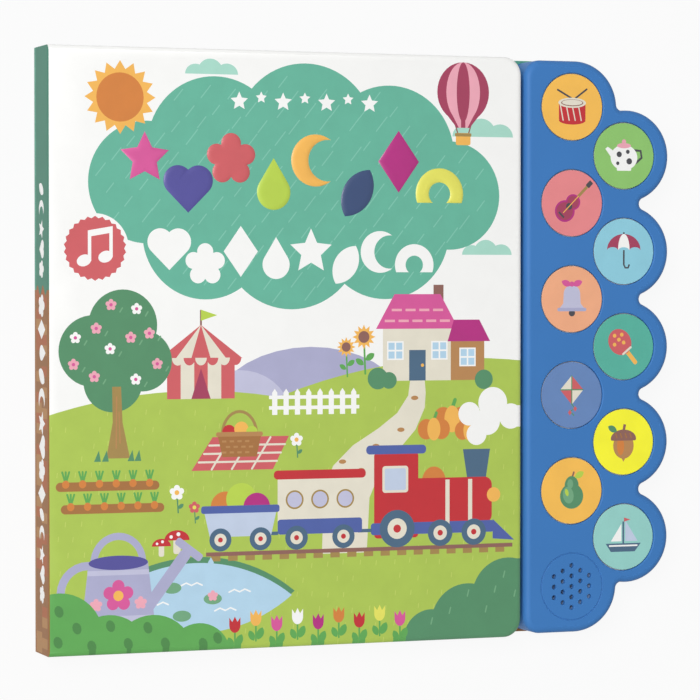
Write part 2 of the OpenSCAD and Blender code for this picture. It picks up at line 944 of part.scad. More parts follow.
// Hollow rubber dome that returns the button
module dome(i) {
    foot_h = 0.6;
    neck_r = dome_r - 1.2;
    top_r = stem_r - 0.2;
    roof_t = 1;
    color([0.75, 0.76, 0.74])
        placed()
            translate(concat(button_place(i), [dome_z]))
                rotate_extrude()
                    polygon([
                        [neck_r, 0], [dome_r, 0], [dome_r, foot_h], [neck_r, foot_h + 0.8], [top_r, dome_h],
                        [0, dome_h], [0, dome_h - roof_t], [top_r - 0.8, dome_h - roof_t], [top_r, 1]
                    ]);
}

front_cover();
spine();
page_block();
back_cover();
print_panel();
print_meadow();
print_trees();
print_pond();
print_train();
padded_shapes();
print_spine_waves();
module_housing();
module_base();
circuit_board();
sound_chip();
speaker_frame();
speaker_cone();
speaker_magnet();
speaker_wire(-1, [0.75, 0.12, 0.12]);  // speaker_wire_1
speaker_wire(1, [0.10, 0.10, 0.10]);  // speaker_wire_2
button_cell(0);  // button_cell_1
button_cell(1);  // button_cell_2
button_cell(2);  // button_cell_3
contact_positive();
contact_bridge(0, 1, door_z);  // contact_bridge_lower
contact_bridge(1, 2, bay_z - contact_t);  // contact_bridge_upper
contact_negative();
battery_door();
battery_door_screw();
housing_screws();
button(0);  // button_01
button(1);  // button_02
button(2);  // button_03
button(3);  // button_04
button(4);  // button_05
button(5);  // button_06
button(6);  // button_07
button(7);  // button_08
button(8);  // button_09
button(9);  // button_10
button_label(0);  // button_label_01
button_label(1);  // button_label_02
button_label(2);  // button_label_03
button_label(3);  // button_label_04
button_label(4);  // button_label_05
button_label(5);  // button_label_06
button_label(6);  // button_label_07
button_label(7);  // button_label_08
button_label(8);  // button_label_09
button_label(9);  // button_label_10
dome(0);  // dome_01
dome(1);  // dome_02
dome(2);  // dome_03
dome(3);  // dome_04
dome(4);  // dome_05
dome(5);  // dome_06
dome(6);  // dome_07
dome(7);  // dome_08
dome(8);  // dome_09
dome(9);  // dome_10
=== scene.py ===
import math
import random

import bmesh
import bpy
import numpy as np
from mathutils import Matrix, Vector
from mathutils.geometry import delaunay_2d_cdt


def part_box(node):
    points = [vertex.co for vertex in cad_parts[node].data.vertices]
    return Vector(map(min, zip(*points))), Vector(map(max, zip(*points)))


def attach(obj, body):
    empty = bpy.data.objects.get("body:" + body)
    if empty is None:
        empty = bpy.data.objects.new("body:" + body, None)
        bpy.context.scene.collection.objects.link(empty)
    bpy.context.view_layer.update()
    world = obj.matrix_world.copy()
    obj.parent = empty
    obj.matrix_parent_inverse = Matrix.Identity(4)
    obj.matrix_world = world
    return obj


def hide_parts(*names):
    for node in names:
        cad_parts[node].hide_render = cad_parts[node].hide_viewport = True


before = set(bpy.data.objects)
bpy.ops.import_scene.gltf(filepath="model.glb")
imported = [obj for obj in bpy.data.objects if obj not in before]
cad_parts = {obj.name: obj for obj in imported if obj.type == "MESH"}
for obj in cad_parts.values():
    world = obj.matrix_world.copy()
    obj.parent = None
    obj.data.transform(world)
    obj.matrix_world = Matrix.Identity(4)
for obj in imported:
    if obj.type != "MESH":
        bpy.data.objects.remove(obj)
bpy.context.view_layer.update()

print("scene: frame loaded")

# Sizes in millimetres in the shared frame; x starts at the outside of the spine
mm = 0.001
book = {
    "left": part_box("front_cover")[0].x / mm,
    "right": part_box("front_cover")[1].x / mm,
    "half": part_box("front_cover")[1].y / mm,
    "top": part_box("print_panel")[1].z / mm,
    "coverUnder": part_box("front_cover")[0].z / mm,
    "backTop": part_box("back_cover")[1].z / mm,
    "cornerRadius": 8,
    "edgeWidth": 2.2,
    "edgeDepth": 1.2,
    "spineEdge": 0.35,
    "lowerEdge": ((0, 0.3), (0.1, 0.08), (0.35, 0)),
    "rimMargin": 0.3,
    "plank": 4.4,
}
module = {
    "left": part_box("module_housing")[0].x / mm,
    "half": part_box("module_housing")[1].y / mm,
    "face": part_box("module_housing")[1].z / mm,
    "plate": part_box("speaker_frame")[1].z / mm,
    "bottom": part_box("module_housing")[0].z / mm,
    "pitch": 42.7,
    "lobeRadius": 20.5,
    "notchRadius": 2.7,
    "lobeShift": 2,
    "edgeRadius": 3,
    "edgeSteps": 12,
    "wall": 1.6,
    "boreRadius": 15.05,
    "bevel": 0.5,
    "arcStep": 3,
    "bossRadius": 3,
    "bossInset": 6.6,
    "bossFoot": 1.6,
    "pilotRadius": 1.25,
    "pilotDepth": 7,
    "rimMargin": 0.2,
}
speaker = {
    "holeRadius": 1.05,
    "holePitch": 4.7,
    "holeColumn": 4.3,
    "grooveRadius": 14.9,
    "grooveWidth": 0.6,
    "grooveDepth": 0.4,
    "ringInner": 14.3,
    "ringOuter": 15.5,
    "ringHeight": 4,
    "holeLip": 0.2,
}
label = {
    "radius": 14.7,
    "thickness": 0.2,
    "edgeRadius": 0.12,
    "iconScale": 1.18,
    "rimMargin": 0.2,
}
wave = {
    "height": 25.6,
    "swing": 2,
    "turns": 2,
}
camera = {
    "place": (-0.4795, 0.0285, 1.2653),
    "yaw": 20.68,
    "pitch": -1.247,
    "lens": 158.0,
}
light = {
    "world": 0.24,
    "floorGlow": 0.92,
    "floorHalf": 3,
}
lamps = {
    "keyLamp": {"place": (-1.5, 0.6, 2.4), "size": 1.5, "power": 66},
    "sideLamp": {"place": (-0.9, -0.8, 1.3), "size": 0.7, "power": 3},
}

# Colours of the print, as written in sRGB
inks = {
    "White": "FAFAF8",
    "Teal": "61B299",
    "TealPale": "A9DCCB",
    "TealStreak": "7CC3AD",
    "Orange": "D27E35",
    "Amber": "F5B855",
    "Meadow": "ABC54F",
    "MeadowPale": "BFD263",
    "Forest": "4B875F",
    "ForestPale": "6DA47B",
    "Lavender": "ACACCD",
    "LavenderPale": "C3C3DD",
    "Red": "BE1E28",
    "Cream": "E8E2D0",
    "Blue": "465AA0",
    "Slate": "3F5F7A",
    "Steel": "C3D0E6",
    "Stone": "875A50",
    "Bark": "A08346",
    "Pond": "B4D6EC",
    "Pink": "D65498",
    "PinkPale": "F0A9B9",
    "Violet": "4A4692",
    "Coral": "CD5A5F",
    "Maroon": "9E3355",
    "Lime": "B8D349",
    "Navy": "263E69",
    "Magenta": "B01E7B",
    "Leaf": "57A24C",
    "LeafDark": "3F7F3B",
    "Yellow": "E6E35F",
    "Brown": "A06A33",
    "BrownPale": "B5834E",
    "SpineTeal": "2F7A63",
    "SpineBrown": "8F5A1C",
    "SpineCopper": "A5561C",
    "SpinePale": "AC7A40",
    "Ink": "33333A",
    "LabelAmber": "F9BF52",
    "LabelGreen": "8CC46A",
    "LabelRose": "E8878A",
    "LabelSky": "8FCEE0",
    "LabelPeach": "F3AD84",
    "LabelJade": "50AF9B",
    "LabelDenim": "6183B8",
    "LabelYellow": "FFFB2C",
    "LabelGold": "FAC052",
    "LabelMint": "96D2CA",
}


def linearColour(text):
    parts = [int(text[i:i + 2], 16) / 255 for i in (0, 2, 4)]
    return [c / 12.92 if c <= 0.04045 else ((c + 0.055) / 1.055) ** 2.4 for c in parts] + [1]


# Adds a node, sets its values and links its inputs
def addNode(tree, kind, values=None, links=None):
    node = tree.nodes.new(kind)
    for key, value in (values or {}).items():
        if isinstance(key, int) or key in node.inputs:
            node.inputs[key].default_value = value
        else:
            setattr(node, key, value)
    for key, source in (links or {}).items():
        tree.links.new(source, node.inputs[key])
    return node


# A finish: two close tints in soft patches, and a fine relief, both sized in millimetres
def makeMaterial(
    name, colour, other=None, shade=0.94, patch=14, relief=0, grain=1, stretch=(1, 1, 1), **values,
):
    material = bpy.data.materials.new(name)
    material.use_nodes = True
    tree = material.node_tree
    shader = tree.nodes["Principled BSDF"]
    for key, value in values.items():
        shader.inputs[key.replace("_", " ")].default_value = value
    first = linearColour(colour)
    second = linearColour(other) if other else [c * shade for c in first[:3]] + [1]
    place = addNode(tree, "ShaderNodeTexCoord")
    scaled = addNode(tree, "ShaderNodeMapping", {"Scale": stretch}, {"Vector": place.outputs["Object"]})
    patches = addNode(
        tree, "ShaderNodeTexNoise", {"Scale": 1 / (patch * mm), "Detail": 4.0},
        {"Vector": scaled.outputs["Vector"]}
    )
    spread = addNode(
        tree, "ShaderNodeMapRange", {"From Min": 0.35, "From Max": 0.65}, {"Value": patches.outputs["Fac"]},
    )
    tint = addNode(
        tree, "ShaderNodeMix", {"data_type": "RGBA", 6: first, 7: second}, {0: spread.outputs["Result"]}
    )
    tree.links.new(tint.outputs[2], shader.inputs["Base Color"])
    if relief:
        grains = addNode(
            tree, "ShaderNodeTexNoise", {"Scale": 1 / (grain * mm), "Detail": 3.0},
            {"Vector": scaled.outputs["Vector"]}
        )
        bump = addNode(tree, "ShaderNodeBump", {"Distance": relief * mm}, {"Height": grains.outputs["Fac"]})
        tree.links.new(bump.outputs["Normal"], shader.inputs["Normal"])
    return material


# Printed and film-covered card: the coat gives the eye the even gloss of a laminated cover
materials = {}
for name, colour in inks.items():
    materials[name] = makeMaterial(
        "laminatedPrint" + name, colour, shade=0.985 if name == "White" else 0.95, patch=9,
        relief=0.004, grain=2.5, Roughness=0.5, Coat_Roughness=0.2, Coat_IOR=1.5,
        Coat_Weight=0.0 if name.startswith("Spine") else 0.3,
    )

# Satin moulded plastic: broad soft highlights along the rounded edge
materials["blueShell"] = makeMaterial(
    "satinPlasticBlue", "417CBF", shade=0.97, patch=30, relief=0.006, grain=0.5, Roughness=0.5, IOR=1.49,
    Specular_IOR_Level=0.2,
)
materials["darkBlue"] = makeMaterial(
    "mouldedPlasticDarkBlue", "386BA8", shade=0.95, patch=20, relief=0.008, grain=0.5,
    Roughness=0.5, IOR=1.49,
)
materials["buttonWhite"] = makeMaterial(
    "mouldedPlasticWhite", "D9D9D6", shade=0.95, patch=10, relief=0.004, grain=0.5, Roughness=0.4, IOR=1.49,
)
# Cut card: pale and matt, with faint plies
materials["cardEdge"] = makeMaterial(
    "cutCardEdge", "EFEDE6", shade=0.9, patch=3, relief=0.03, grain=0.6,
    stretch=(0.2, 0.2, 3), Roughness=0.75,
)
materials["coatedCard"] = makeMaterial(
    "coatedCardWhite", "F2F1EC", shade=0.96, patch=16, relief=0.004, grain=1.5, Roughness=0.4, IOR=1.5,
)
materials["greenBoard"] = makeMaterial(
    "solderMaskGreen", "2A6640", shade=0.85, patch=4, relief=0.01, grain=0.8, Roughness=0.35, IOR=1.52,
)
materials["blackResin"] = makeMaterial(
    "blackResin", "151517", shade=0.8, patch=3, relief=0.02, grain=1, Roughness=0.25, IOR=1.55,
)
materials["zincSteel"] = makeMaterial(
    "zincPlatedSteel", "B4B6B8", shade=0.85, patch=1.5, relief=0.005, grain=0.3,
    Roughness=0.35, Metallic=1.0,
)
# The speaker cone's pale film colour is painted light: it is lighter than a shaded cone, so the cone shows
# lit through the speaker holes, where little real light reaches it
materials["coneFilmPaintedLight"] = makeMaterial(
    "speakerFilmPaintedLight", "7E9CC8", shade=0.9, patch=3, relief=0.02, grain=0.8, Roughness=0.5,
)
materials["ferrite"] = makeMaterial(
    "ferriteGrey", "4A4A4E", shade=0.85, patch=1, relief=0.02, grain=0.4, Roughness=0.6,
)
materials["redWire"] = makeMaterial("insulationRed", "B81F1F", shade=0.9, patch=2, Roughness=0.45)
materials["blackWire"] = makeMaterial("insulationBlack", "1A1A1A", shade=0.8, patch=2, Roughness=0.45)
materials["cellSteel"] = makeMaterial(
    "brushedCellSteel", "CFCFCC", shade=0.85, patch=1, stretch=(6, 1, 1), Roughness=0.28, Metallic=1.0,
)
materials["contactBrass"] = makeMaterial(
    "contactBrass", "CDBB84", shade=0.85, patch=1, stretch=(1, 6, 1), Roughness=0.3, Metallic=1.0,
)
materials["domeRubber"] = makeMaterial(
    "siliconeGrey", "B8BAB5", shade=0.93, patch=2, Roughness=0.55, IOR=1.41,
)
print("scene: materials made")


# Printed board colour of the spine's wrap: teal above a waved line and brown below it
def makeWrapMaterial(name):
    material = bpy.data.materials.new(name)
    material.use_nodes = True
    tree = material.node_tree
    shader = tree.nodes["Principled BSDF"]
    shader.inputs["Roughness"].default_value = 0.5
    place = addNode(tree, "ShaderNodeTexCoord")
    axes = addNode(tree, "ShaderNodeSeparateXYZ", None, {0: place.outputs["Object"]})
    patches = addNode(
        tree, "ShaderNodeTexNoise", {"Scale": 110.0, "Detail": 4.0}, {"Vector": place.outputs["Object"]},
    )
    above = addNode(
        tree, "ShaderNodeMath", {"operation": "GREATER_THAN", 1: wave["height"] * mm},
        {0: axes.outputs["Y"]}
    )
    brown, teal = [
        addNode(
            tree, "ShaderNodeMix",
            {"data_type": "RGBA", 6: linearColour(inks[ink]), 7: linearColour(inks["Spine" + ink])},
            {0: patches.outputs["Fac"]},
        ) for ink in ("Brown", "Teal")
    ]
    tint = addNode(
        tree, "ShaderNodeMix", {"data_type": "RGBA"},
        {0: above.outputs["Value"], 6: brown.outputs[2], 7: teal.outputs[2]},
    )
    tree.links.new(tint.outputs[2], shader.inputs["Base Color"])
    return material


materials["wrap"] = makeWrapMaterial("laminatedWrapTwoTone")


# Outlines: closed lists of points, against the clock
def oval(x, y, rx, ry, turn=0, start=0, end=360, steps=36):
    whole = end - start >= 360
    count = steps if whole else steps + 1
    c, s = math.cos(math.radians(turn)), math.sin(math.radians(turn))
    points = []
    for i in range(count):
        a = math.radians(start + (end - start) * i / steps)
        px, py = rx * math.cos(a), ry * math.sin(a)
        points.append((x + px * c - py * s, y + px * s + py * c))
    return points


def disc(x, y, r, steps=36):
    return oval(x, y, r, r, steps=steps)


def slab(x, y, w, h, turn=0, r=0):
    c, s = math.cos(math.radians(turn)), math.sin(math.radians(turn))
    corners = []
    for cx, cy, start in ((1, -1, -90), (1, 1, 0), (-1, 1, 90), (-1, -1, 180)):
        px, py = cx * (w / 2 - r), cy * (h / 2 - r)
        corners += oval(px, py, r, r, start=start, end=start + 90, steps=6) if r else [(px, py)]
    return [(x + px * c - py * s, y + px * s + py * c) for px, py in corners]


def starShape(x, y, r, inner, tips=5, turn=0):
    points = []
    for i in range(2 * tips):
        a = math.radians(90 + turn + i * 180 / tips)
        d = inner if i % 2 else r
        points.append((x + d * math.cos(a), y + d * math.sin(a)))
    return points


def heartShape(x, y, r):
    points = [(-r / 2, -r / 2)]
    points += oval(r / 2, 0, r / 2, r / 2, start=-90, end=90, steps=18)
    points += oval(0, r / 2, r / 2, r / 2, start=0, end=180, steps=18)
    h = math.sqrt(0.5)
    return [(x + (px - py) * h, y + (px + py) * h) for px, py in points]


def flowerShape(x, y, r, petals=5):
    points = []
    for i in range(60):
        a = math.radians(i * 6)
        half = math.radians(180 / petals)
        away = (a - math.pi / 2) % (2 * half)
        away = away - 2 * half if away > half else away
        d = r * (0.6 * math.cos(away) + math.sqrt(0.16 - 0.36 * math.sin(away) ** 2))
        points.append((x + d * math.cos(a), y + d * math.sin(a)))
    return points


def dropShape(x, y, r):
    return oval(x, y, r * 0.68, r * 0.68, start=151.93, end=388.07, steps=30) + [(x, y + r * 1.3)]


def moonShape(x, y, r):
    outer = oval(x, y, r, r, start=52.41, end=307.59, steps=36)
    inner = oval(x + r * 0.5, y, r * 0.8, r * 0.8, start=82.1, end=277.9, steps=26)
    return outer + inner[::-1][1:-1]


def rainbowShape(x, y, r):
    outer = oval(x, y, r, r, start=-20.49, end=200.49, steps=36)
    inner = oval(x, y, r * 0.45, r * 0.45, start=-51.06, end=231.06, steps=26)
    return outer + inner[::-1]


def leafShape(x, y, r, turn=-30):
    right = oval(-0.6 * r, 0, 1.2 * r, 1.2 * r, start=-60, end=60, steps=16)
    left = oval(0.6 * r, 0, 1.2 * r, 1.2 * r, start=120, end=240, steps=16)
    c, s = math.cos(math.radians(turn)), math.sin(math.radians(turn))
    return [(x + px * c - py * s, y + px * s + py * c) for px, py in right + left[1:-1]]


def diamondShape(x, y, r):
    return [(x, y - r * 1.2), (x + r * 0.85, y), (x, y + r * 1.2), (x - r * 0.85, y)]


# A line of even width with round ends
def stroke(points, width):
    left, right = [], []
    for i, point in enumerate(points):
        before, after = points[max(i - 1, 0)], points[min(i + 1, len(points) - 1)]
        a = math.atan2(after[1] - before[1], after[0] - before[0])
        px, py = width / 2 * -math.sin(a), width / 2 * math.cos(a)
        left.append((point[0] + px, point[1] + py))
        right.append((point[0] - px, point[1] - py))
    first = math.degrees(math.atan2(points[1][1] - points[0][1], points[1][0] - points[0][0]))
    last = math.degrees(math.atan2(points[-1][1] - points[-2][1], points[-1][0] - points[-2][0]))
    cap = oval(*points[-1], width / 2, width / 2, start=last - 90, end=last + 90, steps=6)[1:-1]
    foot = oval(*points[0], width / 2, width / 2, start=first + 90, end=first + 270, steps=6)[1:-1]
    return right + cap + left[::-1] + foot


def paint(colour, *shapes):
    return [(colour, shape) for shape in shapes]


# Which points lie inside an outline
def inside(outline, x, y):
    hit = np.zeros(len(x), bool)
    for (x0, y0), (x1, y1) in zip(outline, outline[1:] + outline[:1]):
        if y0 != y1:
            hit ^= ((y0 > y) != (y1 > y)) & (x < (x1 - x0) * (y - y0) / (y1 - y0) + x0)
    return hit


# Cuts a flat outline into triangles, each in the colour of the topmost field over it.
# A field without a colour is a hole.
def partition(outline, fields, ground):
    points, edges = [], []
    for ring in [outline] + [shape for _, shape in fields]:
        first = len(points)
        points += [Vector(p) for p in ring]
        edges += [(first + i, first + (i + 1) % len(ring)) for i in range(len(ring))]
    points, _, triangles, *_ = delaunay_2d_cdt(points, edges, [], 0, 1e-4)
    corners = np.array([[points[i][:] for i in t] for t in triangles])
    x, y = corners[:, :, 0].mean(1), corners[:, :, 1].mean(1)
    colours = np.where(inside(outline, x, y), 0, -1)
    names = [ground]
    for colour, shape in fields:
        if colour not in names:
            names.append(colour)
        xs, ys = [p[0] for p in shape], [p[1] for p in shape]
        near = (colours >= 0) & (x > min(xs)) & (x < max(xs)) & (y > min(ys)) & (y < max(ys))
        where = np.nonzero(near)[0]
        found = where[inside(shape, x[where], y[where])]
        colours[found] = names.index(colour)
    kept = [i for i in range(len(triangles)) if colours[i] >= 0 and names[colours[i]] is not None]
    return [p[:] for p in points], [list(triangles[i]) for i in kept], [names[colours[i]] for i in kept]


# Smooths the faces and keeps creases over the angle sharp
def smoothFaces(shape, crease=35):
    for face in shape.faces:
        face.smooth = True
    for edge in shape.edges:
        edge.smooth = len(edge.link_faces) == 2 and edge.calc_face_angle(0) < math.radians(crease)


# Makes a mesh object from points in millimetres and welds it
def makeObject(name, points, faces, marks, body, slot=None, stands=(), crease=35, closed=True):
    mesh = bpy.data.meshes.new(name)
    order = sorted(set(marks))
    mesh.from_pydata([Vector(p) * mm for p in points], [], faces)
    for mark in order:
        mesh.materials.append(materials[mark])
    mesh.polygons.foreach_set("material_index", [order.index(m) for m in marks])
    shape = bmesh.new()
    shape.from_mesh(mesh)
    bmesh.ops.remove_doubles(shape, verts=shape.verts, dist=0.002 * mm)
    bmesh.ops.delete(shape, geom=[v for v in shape.verts if not v.link_faces], context="VERTS")
    if closed:
        bmesh.ops.recalc_face_normals(shape, faces=shape.faces)
    smoothFaces(shape, crease)
    shape.to_mesh(mesh)
    shape.free()
    piece = bpy.data.objects.new(name, mesh)
    bpy.context.scene.collection.objects.link(piece)
    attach(piece, body)
    if stands:
        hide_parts(*stands)
    return piece


# A printed sheet or board: the print on its face, then the edge turned down level by level.
# place puts (u, v, height) into the frame, away gives the way out at a point of the rim.
def makeSheet(name, outline, fields, ground, levels, place, away, edgeMark, body, **settings):
    points, faces, marks = partition(outline, fields, ground)
    used = {}
    for face, mark in zip(faces, marks):
        for a, b in zip(face, face[1:] + face[:1]):
            used[(a, b)] = mark
    rim = {a: (b, mark) for (a, b), mark in used.items() if (b, a) not in used}
    start = next(iter(rim))
    loop, edgeMarks, at = [], [], start
    while True:
        at, mark = rim[at]
        loop.append(at)
        edgeMarks.append(mark)
        if at == start:
            break
    loop = loop[-1:] + loop[:-1]
    solid = [place(p[0], p[1], levels[0][1]) for p in points]
    previous = loop
    for grow, height in levels[1:]:
        ring = []
        for i in loop:
            x, y = points[i]
            nx, ny = away(x, y)
            solid.append(place(x + nx * grow, y + ny * grow, height))
            ring.append(len(solid) - 1)
        for i in range(len(loop)):
            j = (i + 1) % len(loop)
            faces.append([previous[j], previous[i], ring[i], ring[j]])
            marks.append(edgeMark(*points[loop[i]], *points[loop[j]], edgeMarks[i]))
        previous = ring
    faces.append(previous[::-1])
    marks.append(settings.pop("under", ground))
    return makeObject(name, solid, faces, marks, body, **settings)


# Puts a drawing in its place at a size
def placed(fields, x, y, size=1):
    return [(colour, [(x + px * size, y + py * size) for px, py in shape]) for colour, shape in fields]


# The cover's print is drawn in hundredths of the cover's width, with y from the book's middle
unit = (book["right"] - book["left"]) / 100
panelDiscs = [
    (20, 33, 12), (34, 40, 14), (53, 42, 15), (71, 39, 14),
    (84, 31, 11), (70, 24, 14), (50, 23, 15), (32, 23, 13),
]
hillDiscs = [(30, -112, 104), (88, -118, 116)]
crownDiscs = [(9, 0, 7), (15, 5, 7), (19, -2, 6), (13, -6, 6)]
bushDiscs = [(80, -59, 6), (88, -56, 8), (97, -51, 8)]
hedgeDiscs = [(2, -56, 9), (12, -60, 8.4), (21, -60.5, 8.6), (30.5, -60.5, 6.6)]
padRow = {"first": 19.5, "step": 8.9, "y": 34.5, "swing": 3.2, "radius": 5.2}
whiteRow = {"first": 24.5, "step": 7.4, "y": 18.2, "swing": 1.3, "radius": 4.2}


def inDiscs(x, y, discs, margin=0):
    return any(math.hypot(x - cx, y - cy) < r - margin for cx, cy, r in discs)


def lensShape(x, y, half, rise):
    bend = (half * half + rise * rise) / (2 * rise)
    angle = math.degrees(math.asin(half / bend))
    top = oval(x, y - bend + rise, bend, bend, start=90 - angle, end=90 + angle, steps=24)
    under = oval(x, y + bend - rise, bend, bend, start=270 - angle, end=270 + angle, steps=24)
    return top + under[1:-1]


def cloudArt():
    return paint(
        "TealPale",
        oval(-3.4, 0, 2.4, 2.2, start=0, end=180, steps=14),
        oval(0, 0, 3.1, 3.4, start=0, end=180, steps=18),
        oval(3.8, 0, 2.6, 2.4, start=0, end=180, steps=14),
    )


def sunArt():
    return paint("Amber", starShape(0, 0, 1.5, 1.16, 16)) + paint("Orange", disc(0, 0, 1))


def balloonArt():
    fields = paint("Stone", stroke([(-2.4, -5), (-1.2, -9)], 0.3))
    fields += paint("Stone", stroke([(2.4, -5), (1.2, -9)], 0.3))
    fields += paint("Maroon", oval(0, 0, 6, 6.4), [(-5, -3.4), (-1.5, -7.6), (1.5, -7.6), (5, -3.4)])
    fields += paint("PinkPale", oval(0, 0, 3.9, 6.4), [(-3.2, -3.6), (-1, -7.6), (1, -7.6), (3.2, -3.6)])
    fields += paint("Maroon", oval(0, 0, 1.5, 6.4), slab(0, -5, 1, 5.2))
    fields += paint("Amber", slab(0, -10, 3.4, 2.6, r=0.4))
    fields += paint("Bark", slab(0, -9.1, 3.8, 0.7, r=0.2))
    return fields


def badgeArt():
    fields = paint("White", disc(0, 0, 1.1, 60)) + paint("Coral", starShape(0, 0, 1.02, 0.95, 26))
    fields += paint(
        "White",
        oval(-0.36, -0.38, 0.24, 0.18, 20),
        oval(0.34, -0.26, 0.24, 0.18, 20),
        slab(-0.18, 0.06, 0.11, 0.9),
        slab(0.52, 0.18, 0.11, 0.9),
        [(-0.235, 0.36), (0.575, 0.5), (0.575, 0.7), (-0.235, 0.56)],
    )
    return fields


def treeArt():
    fields = paint("Forest", *[disc(*d, 48) for d in crownDiscs])
    fields += paint("Bark", [(11.6, -21), (16.4, -21), (14.9, -14), (14.6, -7), (12.8, -7), (12.9, -14)])
    fields += paint(
        "BrownPale", stroke([(13.6, -19), (13.7, -9)], 0.25), stroke([(14.4, -18), (14.2, -12)], 0.25),
    )
    spots = [
        (5.4, 2.6), (9.6, 4.4), (12.6, 9), (17.8, 8.2), (20.4, 3.4), (22, -2.6), (17.6, -5.6), (9.2, -5),
        (5, -2.6), (12.4, 0.4), (16.6, 2.6),
    ]
    for i, (x, y) in enumerate(spots):
        fields += paint("White" if i % 3 == 0 else "PinkPale", flowerShape(x, y, 1.15))
        fields += paint("Pink", disc(x, y, 0.35, 10))
        fields += paint("ForestPale", stroke([(x + 1.8, y - 1.4), (x + 2.3, y - 0.6)], 0.28))
    for x in (9.8, 11.4, 16.6, 18):
        fields += paint("Forest", [(x - 0.7, -21.6), (x + 0.7, -21.6), (x + 0.3, -19.4)])
    return fields


def houseArt():
    fields = paint("Stone", slab(4.6, 11.4, 2.2, 5))
    fields += paint("Cream", slab(0, 0, 15, 11))
    fields += paint("BrownPale", slab(11, -1.4, 7.4, 8.2))
    fields += paint("Pink", [(-9, 5), (9, 5), (5, 12), (-5, 12)])
    fields += paint("Magenta", [(6.6, 2.4), (16, 2.4), (13.6, 6.8), (8, 6.8)])
    fields += paint("PinkPale", *[slab(-6 + 3 * i, 6.6, 2.2, 0.5) for i in range(5)])
    fields += paint("PinkPale", *[slab(-4.5 + 3 * i, 8.8, 2.2, 0.5) for i in range(4)])
    fields += paint("Slate", slab(0, -2.4, 3.6, 6.2))
    fields += paint("Amber", disc(1.1, -2.4, 0.35, 12))
    for wx, wy in ((-4.8, 0.6), (4.8, 0.6), (11, -0.8)):
        fields += paint("White", slab(wx, wy, 3.6, 3.8))
        fields += paint("Pond", slab(wx, wy, 3, 3.2))
        fields += paint("White", slab(wx, wy, 0.35, 3.4), slab(wx, wy, 3.2, 0.35))
    fields += paint("Forest", disc(-8.6, -5, 2.2, 24), disc(-6.2, -5.4, 1.7, 24), disc(14.6, -5.4, 2, 24))
    return fields


def fenceArt(count):
    fields = paint("White", slab((count - 1) * 1.2, 0.9, count * 2.4, 0.7))
    fields += paint("White", slab((count - 1) * 1.2, -1.2, count * 2.4, 0.7))
    for i in range(count):
        px = i * 2.4
        fields += paint("White", [
            (px - 0.55, -2.6), (px + 0.55, -2.6), (px + 0.55, 1.8), (px, 2.6), (px - 0.55, 1.8),
        ])
    return fields


def wheelArt(x, y, r):
    rings = (("Slate", 1, 30), ("Cream", 0.55, 24), ("Red", 0.22, 12))
    return [(colour, disc(x, y, r * share, steps)) for colour, share, steps in rings]


def trainArt():
    fields = paint("Stone", slab(-1, -0.4, 66, 0.8))
    fields += paint("Bark", *[slab(-32 + 3.6 * i, -1.3, 2, 1) for i in range(18)])
    # engine
    fields += paint("Slate", [(22, 13), (26, 13), (27, 19.4), (21, 19.4)])
    fields += paint("Orange", oval(14.6, 13, 2.6, 3, start=0, end=180))
    fields += paint("Red", slab(17.4, 9, 20, 9.4, r=1.6), slab(6.4, 10.4, 9.6, 17.4, r=0.8))
    fields += paint("Cream", slab(6.2, 13.6, 5.6, 5.4, r=0.6))
    fields += paint("Steel", slab(6.2, 13.6, 4.6, 4.4, r=0.4))
    fields += paint("Blue", slab(6.4, 19.6, 13, 1.8, r=0.8), slab(14.4, 3.6, 27, 2.4, r=0.6))
    fields += paint("Cream", slab(17.6, 8.6, 0.9, 9.4), slab(22.6, 8.6, 0.9, 9.4))
    fields += paint("Amber", disc(27.8, 10, 1.5, 20))
    fields += paint("Blue", [(27.6, 5), (27.6, 1), (32.4, 0.6)])
    fields += wheelArt(6.6, 3.6, 3.8) + wheelArt(16, 2.5, 2.7) + wheelArt(23.4, 2.5, 2.7)
    # covered wagon
    fields += paint("Slate", slab(-0.4, 3.4, 3, 0.7))
    fields += paint("Cream", slab(-10, 9.2, 18, 11, r=0.8))
    fields += paint("Red", slab(-10, 15, 19.6, 1.8, r=0.8))
    fields += paint("Blue", slab(-10, 4.6, 18, 3, r=0.6))
    for i in range(3):
        fields += paint("Bark", disc(-15.4 + 5.4 * i, 10, 1.9, 26))
        fields += paint("LavenderPale", disc(-15.4 + 5.4 * i, 10, 1.55, 26))
    fields += wheelArt(-15, 2.4, 2.4) + wheelArt(-5, 2.4, 2.4)
    # open wagon
    fields += paint("Slate", slab(-20.4, 3.4, 3, 0.7))
    for colour, px, py, r in (
        ("Orange", -30, 9, 3), ("Lime", -26.6, 10.4, 3.2), ("Magenta", -23.4, 8.8, 2.8),
    ):
        fields += paint(colour, disc(px, py, r, 30))
    fields += paint("Steel", [(-34.6, 9), (-19, 9), (-20.4, 3), (-33.2, 3)])
    fields += paint("Blue", slab(-26.8, 8.4, 16.4, 1.5, r=0.5))
    fields += wheelArt(-31, 2.4, 2.3) + wheelArt(-22.6, 2.4, 2.3)
    # smoke
    for px, py, r in (
        (24, 22.4, 2.2), (26.4, 25, 2.8), (22.4, 26.6, 2.4), (27.6, 28.8, 3.2), (31.6, 26, 2.6),
    ):
        fields += paint("White", disc(px, py, r, 30))
    return fields


